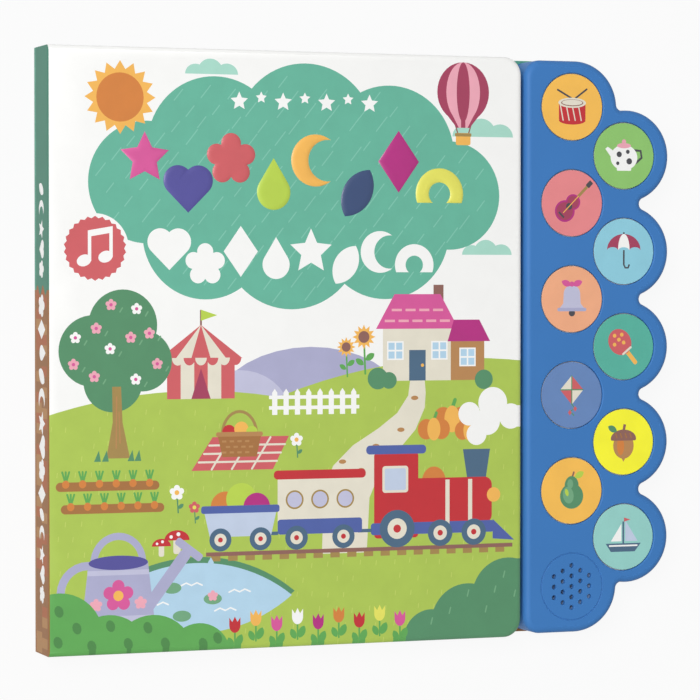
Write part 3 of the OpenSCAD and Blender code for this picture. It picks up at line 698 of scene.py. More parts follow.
# A striped fair tent, drawn from the middle of its foot
def tentArt():
    fields = paint("Stone", stroke([(0, 14), (0, 17.4)], 0.4))
    fields += paint("Lime", [(0, 17.6), (0, 15.4), (3.4, 16.5)])
    fields += paint("Cream", slab(0, 4, 14, 8))
    fields += paint("Coral", *[slab(5.6 * i, 4, 2.8, 8) for i in (-1, 0, 1)])
    fields += paint("Maroon", [(-2, 0), (2, 0), (0, 6)])
    fields += paint("Coral", [(-8.6, 8), (8.6, 8), (0, 14.6)])
    fields += paint("Cream", *[[(a, 8), (a + 3.2, 8), (0, 14.6)] for a in (-5.2, 2)])
    for i in range(7):
        fields += paint(
            "Cream" if i % 2 else "Coral", oval(-7.2 + 2.4 * i, 8.1, 1.2, 1.5, start=180, end=360, steps=10)
        )
    return fields


def wateringCanArt():
    fields = paint(
        "Lavender",
        stroke([(5, 3), (12.6, 13)], 2.2),
        slab(13.4, 14, 1.5, 6, 53, 0.5),
        stroke(oval(-5.8, 6.6, 5, 5, start=75, end=285, steps=16), 1.5),
        stroke(oval(0, 12, 4.6, 4.8, start=8, end=172, steps=16), 1.3),
        [(-7, 0), (7, 0), (5.6, 12), (-5.6, 12)],
    )
    fields += paint("Violet", oval(0, 12, 5.6, 1.3))
    fields += paint("LavenderPale", slab(0, 1.8, 13.6, 1.1), slab(0, 10.2, 11.6, 0.9))
    fields += paint("Pink", flowerShape(0, 6, 2.9)) + paint("Amber", disc(0, 6, 0.95, 20))
    fields += paint("PinkPale", flowerShape(-4.2, 4.4, 1.2), flowerShape(4.2, 4.6, 1.2))
    fields += paint("Pond", *[
        dropShape(dx, dy, 0.8) for dx, dy in ((15.6, 9.6), (17.6, 11.4), (16.8, 6.6), (19, 8.4))
    ])
    return fields


# A basket of fruit on a checked blanket
def picnicArt():
    fields = paint("Coral", [(-9, -3.4), (8, -3.4), (11.4, 3.2), (-4.6, 3.2)])
    for i in range(1, 4):
        along, up = -9 + i * 4.2, -3.4 + i * 1.65
        fields += paint("Cream", stroke([(along, -3.2), (along + 3.9, 3)], 0.4))
        fields += paint("Cream", stroke([(-8.6 + i * 1.1, up), (8 + i * 0.85, up)], 0.4))
    fields += paint("Bark", stroke(oval(1, 3.6, 3.6, 4.6, start=5, end=175, steps=14), 0.6))
    for colour, dx, dy, r in (("Red", -1.2, 4.2, 1.4), ("Amber", 1.4, 4.7, 1.5), ("Lime", 3.6, 4.1, 1.2)):
        fields += paint(colour, disc(dx, dy, r, 20))
    fields += paint("Brown", [(-2.6, -0.8), (4.6, -0.8), (5.6, 3.8), (-3.6, 3.8)])
    fields += paint("BrownPale", slab(1, 3.7, 9.8, 0.9, r=0.4), *[
        slab(-2.2 + 1.6 * k + 0.8 * (row % 2), 0.1 + 1.1 * row, 0.9, 0.4)
        for row in range(3) for k in range(4)
    ])
    return fields


def pumpkinArt():
    fields = paint("Leaf", stroke([(0, 1.6), (0.5, 3)], 0.6))
    fields += paint("Orange", oval(-1.5, 0, 1.7, 1.9), oval(1.5, 0, 1.7, 1.9))
    fields += paint("Amber", oval(0, 0, 1.3, 2.1))
    return fields


def sunflowerArt():
    fields = paint("Leaf", stroke([(0, 0), (0.3, -7.4)], 0.4))
    fields += paint("Leaf", leafShape(1.3, -4, 1.1, -55), leafShape(-0.9, -5, 1, 55))
    fields += paint("Amber", starShape(0, 0, 2.5, 1.6, 12)) + paint("Stone", disc(0, 0, 1.2, 20))
    return fields


# Two rows of carrots in their beds
def bedArt(count):
    fields = []
    for row in range(2):
        py = -4.4 * row
        fields += paint("Brown", slab((count - 1) * 1.7 + row, py, count * 3.5, 1.8, r=0.9))
        for i in range(count):
            px = 3.4 * i + row
            fields += paint(
                "Leaf", *[stroke([(px, py + 0.6), (px + 0.7 * k, py + 2.9)], 0.4) for k in (-1, 0, 1)],
            )
            fields += paint("Orange", oval(px, py + 0.5, 0.75, 0.8, steps=14))
    return fields


# A path that widens towards the reader, with stones along it
def pathArt():
    left = [
        (75.4, -6.5), (75, -9.5), (72.6, -13), (68.6, -16), (63, -19.4), (58.8, -23.4), (56.8, -28),
        (56.4, -41)
    ]
    near = [
        (66, -41), (66.6, -30), (68.6, -25.4), (72.4, -21), (76.6, -16.4), (78.6, -12), (78.8, -9),
        (78.6, -6.5)
    ]
    fields = paint("Cream", left + near)
    fields += paint("BrownPale", *[
        oval(x, y, 0.8, 0.45, steps=14)
        for x, y in ((76.4, -10), (73.4, -16.4), (68, -19.6), (64.8, -24.4), (60.8, -22.6))
    ])
    return fields


def tulipArt(petal):
    fields = paint("Leaf", stroke([(0, 0), (0, -5)], 0.4))
    fields += paint("Leaf", leafShape(1, -3.4, 1.4, -25), leafShape(-1, -3.8, 1.2, 25))
    fields += paint(petal, oval(0, 0, 1.3, 1.7, start=180, end=360, steps=14), [
        (-1.3, 0), (1.3, 0), (1.3, 1.7), (0.6, 0.7), (0, 1.9), (-0.6, 0.7), (-1.3, 1.7),
    ])
    return fields


def flowerArt(petal, heart):
    fields = paint("Forest", stroke([(0, 0), (0.3, -4.4)], 0.32))
    fields += paint("Forest", leafShape(0.9, -3, 0.75, -50))
    fields += paint(petal, flowerShape(0, 0, 1.7))
    fields += paint(heart, disc(0, 0, 0.55, 16))
    return fields


def mushroomArt():
    fields = paint("Cream", slab(0, 0, 1.5, 3, r=0.5))
    fields += paint("Red", oval(0, 1.2, 2.6, 2, start=0, end=180, steps=20))
    fields += paint("White", disc(-1.2, 1.9, 0.35, 12), disc(0.3, 2.4, 0.4, 12))
    return fields


def pondArt():
    fields = paint("Forest", lensShape(0, 0.8, 20.6, 7.4))
    fields += paint("Pond", lensShape(0, 0, 20, 7))
    for wx, wy in ((-8, -1), (-1, 2.6), (6, -2.6), (9, 1)):
        ripple = [(wx - 2.2, wy), (wx - 1.1, wy + 0.5), (wx, wy), (wx + 1.1, wy + 0.5), (wx + 2.2, wy)]
        fields += paint("White", stroke(ripple, 0.3))
    for px, py in ((-5, 2.2), (3.4, -0.2), (-3, -3.4)):
        fields += paint("ForestPale", oval(px, py, 1.9, 1.1))
    fields += paint("PinkPale", flowerShape(3.4, 0.4, 1.1))
    return fields


def coverArt():
    maker = random.Random(4)
    fields = paint("Teal", *[disc(*d, 72) for d in panelDiscs])
    # pale slanting streaks over the panel
    streaks = []
    for row in range(-2, 22):
        for column in range(0, 18):
            x = column * 6.2 + (row % 2) * 3.1 + maker.uniform(-0.8, 0.8)
            y = row * 3.1 + maker.uniform(-0.6, 0.6)
            length = maker.uniform(2.2, 3.8)
            end = (x + length * 0.62, y + length * 0.78)
            if inDiscs(x, y, panelDiscs, 0.8) and inDiscs(*end, panelDiscs, 0.8):
                streaks.append(stroke([(x, y), end], 0.22))
    fields += paint("TealStreak", *streaks)
    for x, y, size in ((91, 43, 1.1), (33, 54.4, 0.9), (92, 19, 0.9)):
        fields += placed(cloudArt(), x, y, size)
    fields += placed(sunArt(), 14.5, 49.5, 4.8) + placed(balloonArt(), 87, 52, 0.95)
    # a row of small stars over the padded shapes
    fields += paint("White", *[
        starShape(39 + 4.6 * i, 49.2 + (i % 2) * 0.8, *((1.2, 0.6) if i % 2 else (1.9, 0.9)))
        for i in range(7)
    ])
    # flat white shapes under the padded ones
    order = (heartShape, flowerShape, diamondShape, dropShape, starWide, leafShape, moonShape, rainbowShape)
    for i, shape in enumerate(order):
        grow = 1.25 if shape is heartShape else 1
        y = whiteRow["y"] + whiteRow["swing"] * (-1 if i % 2 else 1)
        fields += paint(
            "White", shape(whiteRow["first"] + whiteRow["step"] * i, y, whiteRow["radius"] * grow),
        )
    fields += paint("Lavender", oval(54, -13, 21, 13.5)) + paint("LavenderPale", oval(39, -14, 11, 10))
    fields += paint("Meadow", *[disc(*d, 160) for d in hillDiscs])
    # short pale dashes over the meadow
    dashes = []
    for row in range(16):
        for column in range(30):
            x = column * 3.5 + (row % 2) * 1.7 + maker.uniform(-0.5, 0.5)
            y = -59 + row * 3.1 + maker.uniform(-0.4, 0.4)
            if inDiscs(x, y + 1.5, hillDiscs) and maker.random() < 0.7:
                dashes.append(stroke([(x, y), (x + 0.1, y + 0.9)], 0.16))
    fields += paint("MeadowPale", *dashes)
    # each drawing with its place and size, from the back to the front
    for art, x, y, size in (
        (pathArt(), 0, 0, 1), (fenceArt(8), 46.4, -10.4, 1), (tentArt(), 31, -9.6, 1),
        (sunflowerArt(), 61.6, 0.4, 0.8), (sunflowerArt(), 65.4, 2.4, 1), (houseArt(), 77, -1, 1),
        (treeArt(), 0, 0, 1), (badgeArt(), 9.4, 20, 6.2), (bedArt(6), 3.4, -26.4, 1),
        (picnicArt(), 38, -20.4, 1), (pumpkinArt(), 84.6, -14.4, 1.3), (pumpkinArt(), 80.6, -16.4, 1.1),
        (pumpkinArt(), 88.4, -16.8, 1), (pondArt(), 30, -49, 1), (trainArt(), 66, -40, 1),
        (flowerArt("White", "Amber"), 26, -28, 0.9),
        (flowerArt("White", "Amber"), 51, -18, 0.8), (flowerArt("Coral", "Yellow"), 29.6, -31, 0.7),
        (mushroomArt(), 26, -38.6, 1), (mushroomArt(), 22.8, -39.4, 0.75),
    ):
        fields += placed(art, x, y, size)
    fields += paint("Forest", *[disc(*d, 48) for d in bushDiscs])
    fields += paint("ForestPale", *[
        stroke([(x, y), (x + 0.3, y + 1.2)], 0.3)
        for x, y in ((84, -54), (88, -50.6), (92, -54), (96, -47), (80, -56), (94, -50), (98.4, -51))
    ])
    fields += placed(wateringCanArt(), 14, -54.4, 1.08)
    for i, petal in enumerate(
        ("Red", "Amber", "Pink", "White", "Magenta", "Orange", "Red", "Yellow", "Pink"),
    ):
        fields += placed(tulipArt(petal), 38 + 4.4 * i, -54.6 + (i % 2) * 1.2, 0.9)
    fields += paint("Leaf", *[disc(*d, 40) for d in hedgeDiscs])
    fields += paint("LeafDark", *[
        oval(x, y, 0.9, 1.2, 20, steps=12)
        for x, y in (
            (2, -50.6), (5.6, -54), (1.8, -56.6), (8.6, -57.6), (12.4, -53.8), (16, -57.4), (20, -54.4),
            (23.6, -57.6), (28, -55.6), (31.4, -58), (34.4, -57),
        ) if inDiscs(x, y, hedgeDiscs, 1.2)
    ])
    return fields


def starWide(x, y, r):
    return starShape(x, y, r * 1.1, r * 0.52)


# The way out of the cover's rounded rectangle at a point of its rim
def coverAway(x, y):
    r = book["cornerRadius"]
    cx, cy = book["right"] - r, book["half"] - r
    if x > cx and abs(y) > cy:
        dx, dy = x - cx, y - math.copysign(cy, y)
        d = math.hypot(dx, dy)
        return dx / d, dy / d
    if x > book["right"] - book["edgeWidth"] - 0.1:
        return 1, 0
    nx = -book["spineEdge"] / book["edgeWidth"] if x < book["left"] + 0.5 else 0
    ny = math.copysign(1, y) if abs(y) > book["half"] - book["edgeWidth"] - 0.1 else 0
    return nx, ny


def coverOutline(inset):
    r = book["cornerRadius"]
    right, half = book["right"], book["half"]
    left = book["left"] + book["spineEdge"]
    points = [(left, wave["height"]), (left, inset - half)]
    points += oval(right - r, r - half, r - inset, r - inset, start=-90, end=0, steps=16)
    points += oval(right - r, half - r, r - inset, r - inset, start=0, end=90, steps=16)
    return points + [(left, half - inset)]


def coverEdgeMark(x0, y0, x1, y1, mark):
    if max(x0, x1) < book["left"] + 0.5:
        return "SpineTeal" if (y0 + y1) / 2 > wave["height"] else "SpineBrown"
    return mark


rim, drop = book["edgeWidth"], book["edgeDepth"]
coverLevels = [
    (rim * math.sin(math.radians(a)), book["top"] - drop * (1 - math.cos(math.radians(a))))
    for a in range(0, 91, 10)
]
coverLevels += [(rim - inset, book["coverUnder"] + rise) for inset, rise in book["lowerEdge"]]
# a ring just inside the rim keeps the rim's soft shading off the flat face
coverFields = paint("White", coverOutline(rim + book["rimMargin"]))
coverFields += placed(coverArt(), book["left"], 0, unit)
makeSheet(
    "coverBoard", coverOutline(rim), coverFields, "White", coverLevels,
    lambda u, v, h: (u, v, h), coverAway, coverEdgeMark, "front_cover",
    under="coatedCard", slot="cover_board",
    stands=("front_cover", "print_panel", "print_meadow", "print_trees", "print_pond", "print_train"),
)
print("scene: cover made")


# Moves each point of an outline in by a distance, along the line that halves its corner
def insetOutline(points, distance):
    moved = []
    count = len(points)
    for i, (x, y) in enumerate(points):
        ax, ay = points[i - 1]
        bx, by = points[(i + 1) % count]
        first = Vector((x - ax, y - ay)).normalized()
        second = Vector((bx - x, by - y)).normalized()
        middle = Vector((-first.y - second.y, first.x + second.x))
        if middle.length < 1e-6:
            middle = Vector((-first.y, first.x))
        middle.normalize()
        reach = distance / max(0.25, middle.dot(Vector((-first.y, first.x))))
        moved.append((x + middle.x * reach, y + middle.y * reach))
    return moved


# Distance of each point from an outline
def rimDistance(outline, points):
    start = np.array(outline)
    along = np.roll(start, -1, 0) - start
    reach = np.array(points)[:, None] - start
    share = np.clip((reach * along).sum(2) / np.maximum((along ** 2).sum(1), 1e-9), 0, 1)
    return np.linalg.norm(reach - share[..., None] * along, axis=2).min(1)


# A raised, cushioned shape on the cover: its height follows the distance from its rim
def makePad(name, outline, mark, slot, stands=()):
    insets = (0, 0.12, 0.5, 1, 1.5, 2, 2.5)
    rises = (0, 0.1, 0.24, 0.37, 0.45, 0.49, 0.5)
    rings = [(mark, insetOutline(outline, inset)) for inset in insets[1:]]
    flat, triangles, marks = partition(outline, rings, mark)
    heights = np.interp(rimDistance(outline, flat), insets, rises)
    points = [(x, y, book["top"] + rise) for (x, y), rise in zip(flat, heights)]
    return makeObject(name, points, triangles, marks, "front_cover", slot, stands, crease=60, closed=False)


padShapes = (
    ("padStar", lambda x, y, r: starShape(x, y, r, r * 0.5), 1, "Pink"),
    ("padHeart", heartShape, 1.15, "Violet"),
    ("padFlower", flowerShape, 1, "Coral"),
    ("padDrop", dropShape, 1, "Lime"),
    ("padMoon", moonShape, 1, "Amber"),
    ("padLeaf", leafShape, 1, "Navy"),
    ("padDiamond", diamondShape, 1, "Magenta"),
    ("padRainbow", rainbowShape, 1, "Yellow"),
)
for i, (name, shape, grow, mark) in enumerate(padShapes):
    x = book["left"] + (padRow["first"] + i * padRow["step"]) * unit
    y = (padRow["y"] + padRow["swing"] * (-1 if i % 2 else 1)) * unit
    outline = shape(x, y, padRow["radius"] * unit * grow)
    makePad(name, outline, mark, "print_pink", ("padded_shapes",) if i == 0 else ())
print("scene: padded shapes made")


# Film on the spine, drawn in the plane of the spine's outer face
def spineArt():
    low, high = book["backTop"], book["coverUnder"]
    edge = []
    for i in range(25):
        y = wave["height"] + wave["swing"] * math.sin(2 * math.pi * wave["turns"] * i / 24)
        edge.append((-y, low + (high - low) * i / 24))
    fields = paint(
        "SpineBrown", edge[::-1] + [(book["half"] + 1, low - 0.01), (book["half"] + 1, high + 0.01)],
    )
    # planks in two rows, each a shade off its neighbours
    middle = (low + high) / 2
    plank = book["plank"]
    maker = random.Random(9)
    for row in (0, 1):
        for i in range(int((book["half"] + wave["height"]) / plank) - 1):
            along = -wave["height"] + 10 + plank * (i + row / 2)
            fields += paint(
                maker.choice(("SpineBrown", "SpineCopper", "SpinePale")),
                slab(along, middle + (high - low) / 4 * (2 * row - 1), plank, (high - low) / 2 - 0.1),
            )
    fields += paint(
        "SpineCopper", [(p[0] + 1.5, p[1]) for p in edge[::-1]] + [(p[0] + 6, p[1]) for p in edge],
    )
    shapes = (starWide, heartShape, flowerShape, diamondShape, dropShape, leafShape, moonShape)
    for first, step, count, size in ((-68, 8.4, 5, 3.8), (-19, 9.9, 9, 4.9), (69, 8.4, 5, 3.9)):
        for i in range(count):
            shape = shapes[(i + count) % len(shapes)]
            fields += paint(
                "White", shape(first + step * i, middle, size * (1.2 if shape is heartShape else 1)),
            )
    return fields


spineRim = [(-book["half"], book["backTop"]), (book["half"], book["backTop"]),
            (book["half"], book["coverUnder"]), (-book["half"], book["coverUnder"])]
makeSheet(
    "spineWrap", spineRim, spineArt(), "SpineTeal", [(0, 0), (0, -0.12)],
    lambda u, v, h: (book["left"] - h, -u, v), lambda x, y: (0, 0), lambda *ends: ends[-1], "book",
    slot="spine_board", stands=("print_spine_waves",),
)
print("scene: spine made")


# Outline of the module, as in the part's source but in finer steps
def arc(cx, cy, r, start, end):
    steps = max(4, math.ceil(abs(end - start) / module["arcStep"]))
    return oval(cx, cy, r, r, start=start, end=end, steps=steps)


def boxCentre(node):
    low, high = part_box(node)
    return (low.x + high.x) / 2 / mm, (low.y + high.y) / 2 / mm


leftColumn = boxCentre("button_label_01")[0]
rightColumn = boxCentre("button_label_02")[0]
lobes = [(leftColumn + module["lobeShift"], -2.5 * module["pitch"])]
lobes += [(rightColumn + module["lobeShift"], k * module["pitch"]) for k in range(-2, 3)]
lobes += [(leftColumn + module["lobeShift"], 2.5 * module["pitch"])]


def notchBetween(a, b):
    half = math.dist(a, b) / 2
    out = math.sqrt((module["lobeRadius"] + module["notchRadius"]) ** 2 - half * half)
    return (
        (a[0] + b[0]) / 2 + out * (b[1] - a[1]) / (2 * half),
        (a[1] + b[1]) / 2 + out * (a[0] - b[0]) / (2 * half),
    )


def heading(a, b):
    return math.degrees(math.atan2(b[1] - a[1], b[0] - a[0]))


notches = [notchBetween(a, b) for a, b in zip(lobes, lobes[1:])]


def moduleOutline(grow):
    r = book["cornerRadius"]
    left, half = module["left"], module["half"]
    points = arc(left + r, r - half, r + grow, 180, 270)
    for i, lobe in enumerate(lobes):
        start = -90 if i == 0 else heading(lobe, notches[i - 1])
        end = 90 if i == len(lobes) - 1 else heading(lobe, notches[i])
        points += arc(*lobe, module["lobeRadius"] + grow, start, end + 360 if end < start else end)
        if i < len(notches):
            end = heading(notches[i], lobes[i + 1])
            start = heading(notches[i], lobe)
            start += 360 if start < end else 0
            points += arc(*notches[i], module["notchRadius"] - grow, start, end)[1:-1]
    return points + arc(left + r, half - r, r + grow, 90, 180)


# Collects rings and faces of one shell
class Shell:
    def __init__(self):
        self.points, self.faces = [], []

    def flat(self, outline, holes, height, up):
        points, triangles, _ = partition(outline, holes, "blueShell")
        first = len(self.points)
        self.points += [(x, y, height) for x, y in points]
        self.faces += [[first + i for i in (t if up else t[::-1])] for t in triangles]

    def loft(self, rings):
        count = len(rings[0])
        first = len(self.points)
        self.points += [p for ring in rings for p in ring]
        for k in range(len(rings) - 1):
            for i in range(count):
                j = (i + 1) % count
                a, b = first + k * count, first + (k + 1) * count
                self.faces.append([a + i, a + j, b + j, b + i])

    def turned(self, x, y, profile, steps):
        self.loft([[(px, py, z) for px, py in disc(x, y, r, steps)] for r, z in profile])


def makeHousing():
    shell = Shell()
    face, plate, bottom = module["face"], module["plate"], module["bottom"]
    bore, bevel, edge = module["boreRadius"], module["bevel"], module["edgeRadius"]
    speakerAt = boxCentre("speaker_frame")
    buttons = [boxCentre("button_label_%02d" % (i + 1)) for i in range(10)]
    bosses = [(module["left"] + module["bossInset"], k * module["pitch"]) for k in (2, 0, -2)]
    bosses += [(rightColumn, k * module["pitch"]) for k in (1.5, -1.5)]
    hole = speaker["holeRadius"]
    holes = []
    for q in range(-2, 3):
        for r in range(max(-2, -q - 2), min(2, 2 - q) + 1):
            along, across = q * speaker["holeColumn"], speaker["holePitch"] * (r + q / 2)
            holes.append((speakerAt[0] + along, speakerAt[1] + across))
    lip = speaker["holeLip"]
    outer = speaker["grooveRadius"] + speaker["grooveWidth"] / 2
    inner = speaker["grooveRadius"] - speaker["grooveWidth"] / 2
    # a ring just inside each rim keeps the rim's soft shading off the flat face
    margin = module["rimMargin"]
    rims = [moduleOutline(-edge - margin), disc(*speakerAt, outer + margin, 120)]
    rims += [disc(x, y, bore + bevel + margin, 120) for x, y in buttons]
    rims += [disc(*speakerAt, inner - margin, 120)]
    rims += [disc(x, y, hole + lip + margin, 24) for x, y in holes]
    top = paint("blueShell", *rims) + [(None, disc(x, y, bore + bevel, 120)) for x, y in buttons]
    top += [(None, disc(*speakerAt, outer, 120)), ("blueShell", disc(*speakerAt, inner, 120))]
    top += [(None, disc(x, y, hole + lip, 24)) for x, y in holes]
    shell.flat(moduleOutline(-edge), top, face, True)
    ringInner, ringOuter = speaker["ringInner"], speaker["ringOuter"]
    under = [(None, disc(*speakerAt, ringOuter, 96)), ("blueShell", disc(*speakerAt, ringInner, 96))]
    under += [(None, disc(x, y, module["bossRadius"], 36)) for x, y in bosses]
    under += [(None, disc(x, y, bore, 120)) for x, y in buttons]
    under += [(None, disc(x, y, hole, 24)) for x, y in holes]
    shell.flat(moduleOutline(-module["wall"]), under, plate, False)
    for x, y in buttons:
        shell.turned(x, y, [
            (bore, plate), (bore, face - bevel), (bore + bevel * 0.12, face - bevel * 0.6),
            (bore + bevel * 0.45, face - bevel * 0.18), (bore + bevel, face),
        ], 120)
    for x, y in holes:
        shell.turned(
            x, y,
            [(hole, plate), (hole, face - lip), (hole + lip * 0.3, face - lip * 0.3), (hole + lip, face)],
            24,
        )
    # inside: the speaker's ring and the screw bosses, each with its pilot hole
    low = plate - speaker["ringHeight"]
    shell.turned(
        *speakerAt, [(ringOuter, plate), (ringOuter, low), (ringInner, low), (ringInner, plate)], 96,
    )
    foot = book["backTop"] + module["bossFoot"]
    end = foot + module["pilotDepth"]
    boss, pilot = module["bossRadius"], module["pilotRadius"]
    for x, y in bosses:
        shell.turned(x, y, [(boss, plate), (boss, foot), (pilot, foot), (pilot, end)], 36)
        shell.flat(disc(x, y, pilot, 36), [], end, False)
    floor = face - speaker["grooveDepth"]
    shell.turned(*speakerAt, [
        (inner, face), (inner + 0.08, face - 0.06), (inner + 0.12, floor + 0.05), (inner + 0.2, floor),
        (outer - 0.2, floor), (outer - 0.12, floor + 0.05), (outer - 0.08, face - 0.06), (outer, face),
    ], 120)
    steps = module["edgeSteps"]
    levels = [(0, bottom)]
    for i in range(steps + 1):
        a = math.pi / 2 * i / steps
        levels.append((edge * (math.cos(a) - 1), face - edge * (1 - math.sin(a))))
    shell.loft([[(x, y, z) for x, y in moduleOutline(grow)] for grow, z in levels])
    wall = moduleOutline(-module["wall"])
    shell.loft([[(x, y, z) for x, y in wall] for z in (plate, bottom)])
    shell.loft([[(x, y, bottom) for x, y in wall], [(x, y, bottom) for x, y in moduleOutline(0)]])
    return makeObject(
        "housingShell", shell.points, shell.faces, ["blueShell"] * len(shell.faces), "book", "blue_plastic",
        ("module_housing",), crease=40,
    )


makeHousing()
print("scene: housing made")


# Pictures of the ten labels, in millimetres from the button's middle
def drumIcon():
    return paint("Ink", stroke([(-6, 6.4), (1, 2.6)], 0.7), stroke([(6, 6.8), (0.6, 2.8)], 0.7)) \
        + paint("Red", slab(0, -1.8, 11, 6.6, r=0.8), oval(0, -5, 5.5, 1.6)) \
        + paint("Cream", oval(0, 1.6, 5.7, 1.9), *[
            stroke([(-5 + 2.5 * i, 0.6 - abs(i - 2) * -0.3), (-3.75 + 2.5 * i, -5)], 0.45) for i in range(4)
        ]) \
        + paint("Stone", oval(0, 1.6, 4.6, 1.3)) + paint("Cream", oval(0, 1.7, 4.2, 1.05))


def teapotIcon():
    return paint("Ink", stroke([(4.4, 2.2), (7, 2), (7.4, -0.6), (5, -2.6)], 0.9)) \
        + paint(
            "White", oval(0, -0.6, 5.6, 4.8), [(-4.6, -1.6), (-7.8, 2.6), (-6.8, 3.4), (-3.6, 1.4)],
            slab(0, -5, 6, 1.2, r=0.4),
        ) \
        + paint(
            "Ink", disc(-2, 0.6, 1.1, 20), disc(2.2, -2, 1.2, 20), disc(1.6, 1.6, 0.8, 20),
            disc(-2.6, -2.8, 0.7, 20),
        ) \
        + paint("PinkPale", oval(0, 3.9, 2.9, 1), disc(0, 5.4, 0.9, 20))


def guitarIcon():
    return paint("Bark", slab(4.2, 4.2, 9, 1.1, 45)) + paint("Ink", slab(7.2, 7.2, 2.6, 1.8, 45, 0.3)) \
        + paint("Magenta", disc(-3, -3, 4.1), disc(0.4, 0.4, 3)) \
        + paint("Maroon", disc(-3, -3, 3.4), disc(0.4, 0.4, 2.4)) \
        + paint("Ink", disc(-1.2, -1.2, 1.3, 20), slab(-4.4, -4.4, 0.7, 3, 45)) \
        + paint("Amber", slab(-0.5, -0.5, 9, 0.35, 45))


def umbrellaIcon():
    half = oval(0, 0.6, 7, 6, start=0, end=180)
    return paint("Ink", stroke([(0, 7), (0, -5), (0.6, -6.2), (1.8, -6.2), (2.2, -5.2)], 0.7)) \
        + paint("Maroon", half) + paint("White", oval(0, 0.6, 2.4, 6, start=0, end=180)) \
        + paint("LabelSky", *[oval(-4.7 + 4.7 * i, 0.5, 2.2, 1.1, start=0, end=180) for i in range(3)])


def bellIcon():
    return paint("Ink", disc(0, -5.2, 1.3, 20)) \
        + paint(
            "LavenderPale", [(-5.6, -4), (5.6, -4), (3.6, -1.6), (3.4, 2), (-3.4, 2), (-3.6, -1.6)],
            disc(0, 2, 3.4),
        ) \
        + paint("Lavender", slab(0, -3.9, 12, 1.3, r=0.6)) \
        + paint("Pink", leafShape(-2.3, 6, 2, 70), leafShape(2.3, 6, 2, -70), disc(0, 5.7, 1, 20))


def maracaIcon():
    return paint("Amber", slab(2.6, -3.2, 1.7, 8.6, 40, 0.7)) \
        + paint("Coral", oval(-1.6, 1.8, 4.6, 5.2, 40)) \
        + paint("Amber", *[
            disc(-1.6 + dx, 1.8 + dy, 0.75, 16)
            for dx, dy in ((-2.2, 2.4), (0.8, 2.8), (-2.2, -1), (1.6, -0.2), (-0.4, 0.9))
        ]) \
        + paint("Cream", stroke([(-0.2, -2.8), (3, -0.2)], 0.8))


def kiteIcon():
    return paint("Forest", stroke([(0, -3.4), (1.2, -5), (-0.6, -6.2), (0.8, -7.6)], 0.5)) \
        + paint("Coral", [(0, 7.4), (-4.8, 2), (0, -3.6), (4.8, 2)]) \
        + paint("Cream", [(0, 7.4), (-4.8, 2), (0, 2)], [(0, 2), (4.8, 2), (0, -3.6)]) \
        + paint("Forest", slab(0, 1.9, 0.45, 11), slab(0, 2, 9.6, 0.45)) \
        + paint("Coral", diamondShape(1.4, -5.2, 0.9), diamondShape(-0.8, -6.6, 0.9))


def acornIcon():
    return paint("BrownPale", oval(0, -1.4, 4.3, 5), [(-1, -5.8), (1, -5.8), (0, -7.6)]) \
        + paint("Orange", oval(-1.2, -1.6, 1.5, 3.4)) \
        + paint(
            "Stone", oval(0, 1.2, 5.3, 3.5, start=0, end=180), slab(0, 1.2, 10.6, 1.4, r=0.6),
            slab(0.3, 5.4, 1.1, 2.6, -12),
        ) \
        + paint("Brown", *[slab(-3 + 2 * i, 2.4, 0.5, 2, 20) for i in range(4)]) \
        + paint("Forest", leafShape(-4.6, 5, 2, 60))


def pearIcon():
    return paint("Stone", stroke([(0, 4.4), (0.9, 7)], 0.7)) \
        + paint("Forest", disc(0, -2, 4.8), oval(0, 2, 2.9, 3.6)) \
        + paint("ForestPale", oval(-1.4, -1.6, 2.2, 3.2, 10), oval(-0.6, 2.6, 1.2, 1.8)) \
        + paint("Lime", leafShape(3.2, 6, 2, -60), oval(-2, -0.6, 0.7, 1.4, 15))


def boatIcon():
    return paint("Slate", [(-7.4, -2.4), (7.4, -2.4), (4.8, -5.6), (-5.2, -5.6)], slab(0, 1.4, 0.7, 9)) \
        + paint("Steel", [(0.8, 6.4), (0.8, -1.6), (6, -1.6)]) \
        + paint("White", [(-0.8, 5), (-0.8, -1.6), (-5.2, -1.6)]) \
        + paint("Coral", [(0.3, 7.4), (0.3, 5.8), (3, 6.6)]) + paint("White", slab(0, -3.3, 12, 0.6, r=0.2))


labels = (
    ("LabelAmber", drumIcon, "label_amber"), ("LabelGreen", teapotIcon, "label_green"),
    ("LabelRose", guitarIcon, "label_rose"), ("LabelSky", umbrellaIcon, "label_sky"),
    ("LabelPeach", bellIcon, "label_peach"), ("LabelJade", maracaIcon, "label_jade"),
    ("LabelDenim", kiteIcon, "label_denim"), ("LabelYellow", acornIcon, "label_yellow"),
    ("LabelGold", pearIcon, "label_gold"), ("LabelMint", boatIcon, "label_mint"),
)
for i, (ground, icon, slotName) in enumerate(labels):
    number = "%02d" % (i + 1)
    cx, cy = boxCentre("button_label_" + number)
    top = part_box("button_label_" + number)[1].z / mm
    fold = label["edgeRadius"]
    fields = paint(ground, disc(cx, cy, label["radius"] - fold - label["rimMargin"], 96))
    fields += placed(icon(), cx, cy, label["iconScale"])
    makeSheet(
        "label" + number, disc(cx, cy, label["radius"] - fold, 96), fields, ground,
        [(0, top), (fold * 0.7, top - fold * 0.3), (fold, top - fold), (fold, top - label["thickness"])],
        lambda u, v, h: (u, v, h),
        lambda x, y, cx=cx, cy=cy: (
            (x - cx) / math.hypot(x - cx, y - cy), (y - cy) / math.hypot(x - cx, y - cy),
        ),
        lambda *ends: ends[-1], "button_" + number,
        slot=slotName, stands=("button_label_" + number,),
    )
print("scene: labels made")

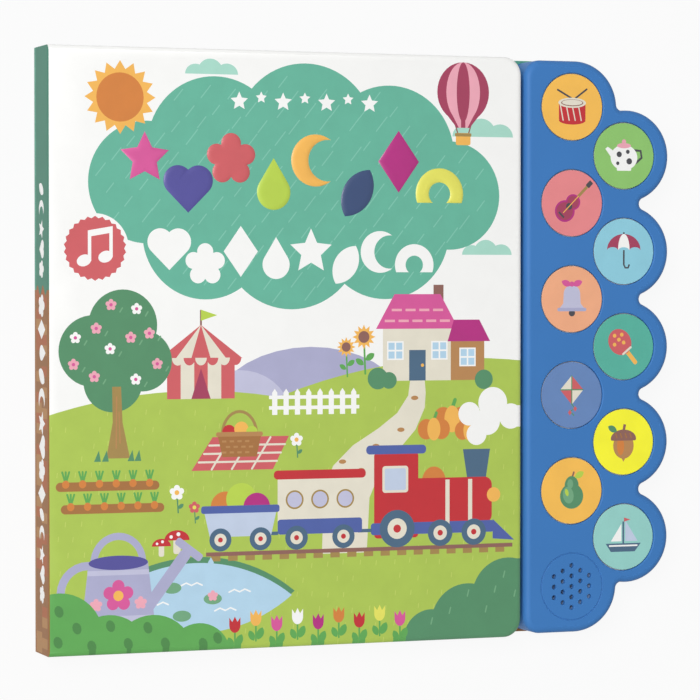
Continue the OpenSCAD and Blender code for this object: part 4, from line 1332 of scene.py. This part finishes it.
# Finishes of the pieces that show as built
finishes = {
    "spine": "wrap",
    "page_block": "cardEdge",
    "back_cover": "wrap",
    "module_base": "darkBlue",
    "circuit_board": "greenBoard",
    "sound_chip": "blackResin",
    "speaker_frame": "zincSteel",
    "speaker_cone": "coneFilmPaintedLight",
    # the cone's pale colour is painted light seen through the speaker holes
    "speaker_magnet": "ferrite",
    "speaker_wire_1": "redWire",
    "speaker_wire_2": "blackWire",
    "contact": "contactBrass",
    "button_cell": "cellSteel",
    "battery_door_screw": "zincSteel",
    "battery_door": "darkBlue",
    "housing_screws": "zincSteel",
    "dome": "domeRubber",
    "button": "buttonWhite",
}
for name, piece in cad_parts.items():
    key = next((k for k in finishes if name.startswith(k)), None)
    if piece.hide_render or key is None:
        continue
    piece.data.materials.clear()
    piece.data.materials.append(materials[finishes[key]])
    marks = [0] * len(piece.data.polygons)
    if name == "page_block":
        # the open page is coated, only the cut edges are bare card
        piece.data.materials.append(materials["coatedCard"])
        marks = [int(face.normal.z > 0.9) for face in piece.data.polygons]
    piece.data.polygons.foreach_set("material_index", marks)
    shape = bmesh.new()
    shape.from_mesh(piece.data)
    smoothFaces(shape)
    shape.to_mesh(piece.data)
    shape.free()
print("scene: finishes set")


# 1 for rays that see the background: from the camera, in a gloss or through glass
def backgroundRays(tree):
    path = addNode(tree, "ShaderNodeLightPath")
    seen = path.outputs["Is Camera Ray"]
    for other in ("Is Glossy Ray", "Is Transmission Ray"):
        either = addNode(tree, "ShaderNodeMath", {"operation": "MAXIMUM"}, {0: seen, 1: path.outputs[other]})
        seen = either.outputs[0]
    return seen


# Plain pale floor, near white where it is seen, with the object's soft shadow on it
def makeFloorMaterial(name, colour):
    material = makeMaterial(name, colour, shade=0.995, patch=200, Roughness=0.9)
    tree = material.node_tree
    shader = tree.nodes["Principled BSDF"]
    glow = addNode(tree, "ShaderNodeEmission")
    share = addNode(
        tree, "ShaderNodeMath", {"operation": "MULTIPLY", 1: light["floorGlow"]}, {0: backgroundRays(tree)}
    )
    both = addNode(
        tree, "ShaderNodeMixShader", None, {0: share.outputs[0], 1: shader.outputs[0], 2: glow.outputs[0]}
    )
    tree.links.new(both.outputs[0], tree.nodes["Material Output"].inputs["Surface"])
    return material


floorMesh = bpy.data.meshes.new("floor")
far = light["floorHalf"]
floorMesh.from_pydata([(-far, -far, 0), (far, -far, 0), (far, far, 0), (-far, far, 0)], [], [(0, 1, 2, 3)])
floorMesh.materials.append(makeFloorMaterial("paleFloor", "C8C8C8"))
floor = bpy.data.objects.new("floor", floorMesh)
floor.location.z = -0.0001
bpy.context.scene.collection.objects.link(floor)

world = bpy.data.worlds.new("studio")
bpy.context.scene.world = world
world.use_nodes = True
sky = world.node_tree.nodes["Background"]
sky.inputs["Color"].default_value = (1, 1, 1, 1)
strength = addNode(
    world.node_tree, "ShaderNodeMapRange", {"To Min": light["world"], "To Max": 1.0},
    {"Value": backgroundRays(world.node_tree)},
)
world.node_tree.links.new(strength.outputs["Result"], sky.inputs["Strength"])


def addLamp(name, place, size, power):
    lamp = bpy.data.lights.new(name, "AREA")
    lamp.shape = "DISK"
    lamp.size = size
    lamp.energy = power
    holder = bpy.data.objects.new(name, lamp)
    holder.location = place
    holder.rotation_mode = "QUATERNION"
    holder.rotation_quaternion = Vector(place).to_track_quat("Z", "Y")
    bpy.context.scene.collection.objects.link(holder)


for name, lamp in lamps.items():
    addLamp(name, **lamp)

yaw, pitch = math.radians(camera["yaw"]), math.radians(camera["pitch"])
forward = Vector((math.sin(yaw) * math.cos(pitch), math.sin(pitch), -math.cos(yaw) * math.cos(pitch)))
right = Vector((math.cos(yaw), 0, math.sin(yaw)))
up = right.cross(forward)
lens = bpy.data.cameras.new("camera")
lens.lens = camera["lens"]
lens.sensor_width = 36
lens.clip_start, lens.clip_end = 0.05, 20
viewer = bpy.data.objects.new("camera", lens)
turn = Matrix((right, up, -forward)).transposed()
viewer.matrix_world = Matrix.Translation(camera["place"]) @ turn.to_4x4()
bpy.context.scene.collection.objects.link(viewer)
bpy.context.scene.camera = viewer
bpy.context.scene.view_settings.view_transform = "Standard"
print("scene: stage set")
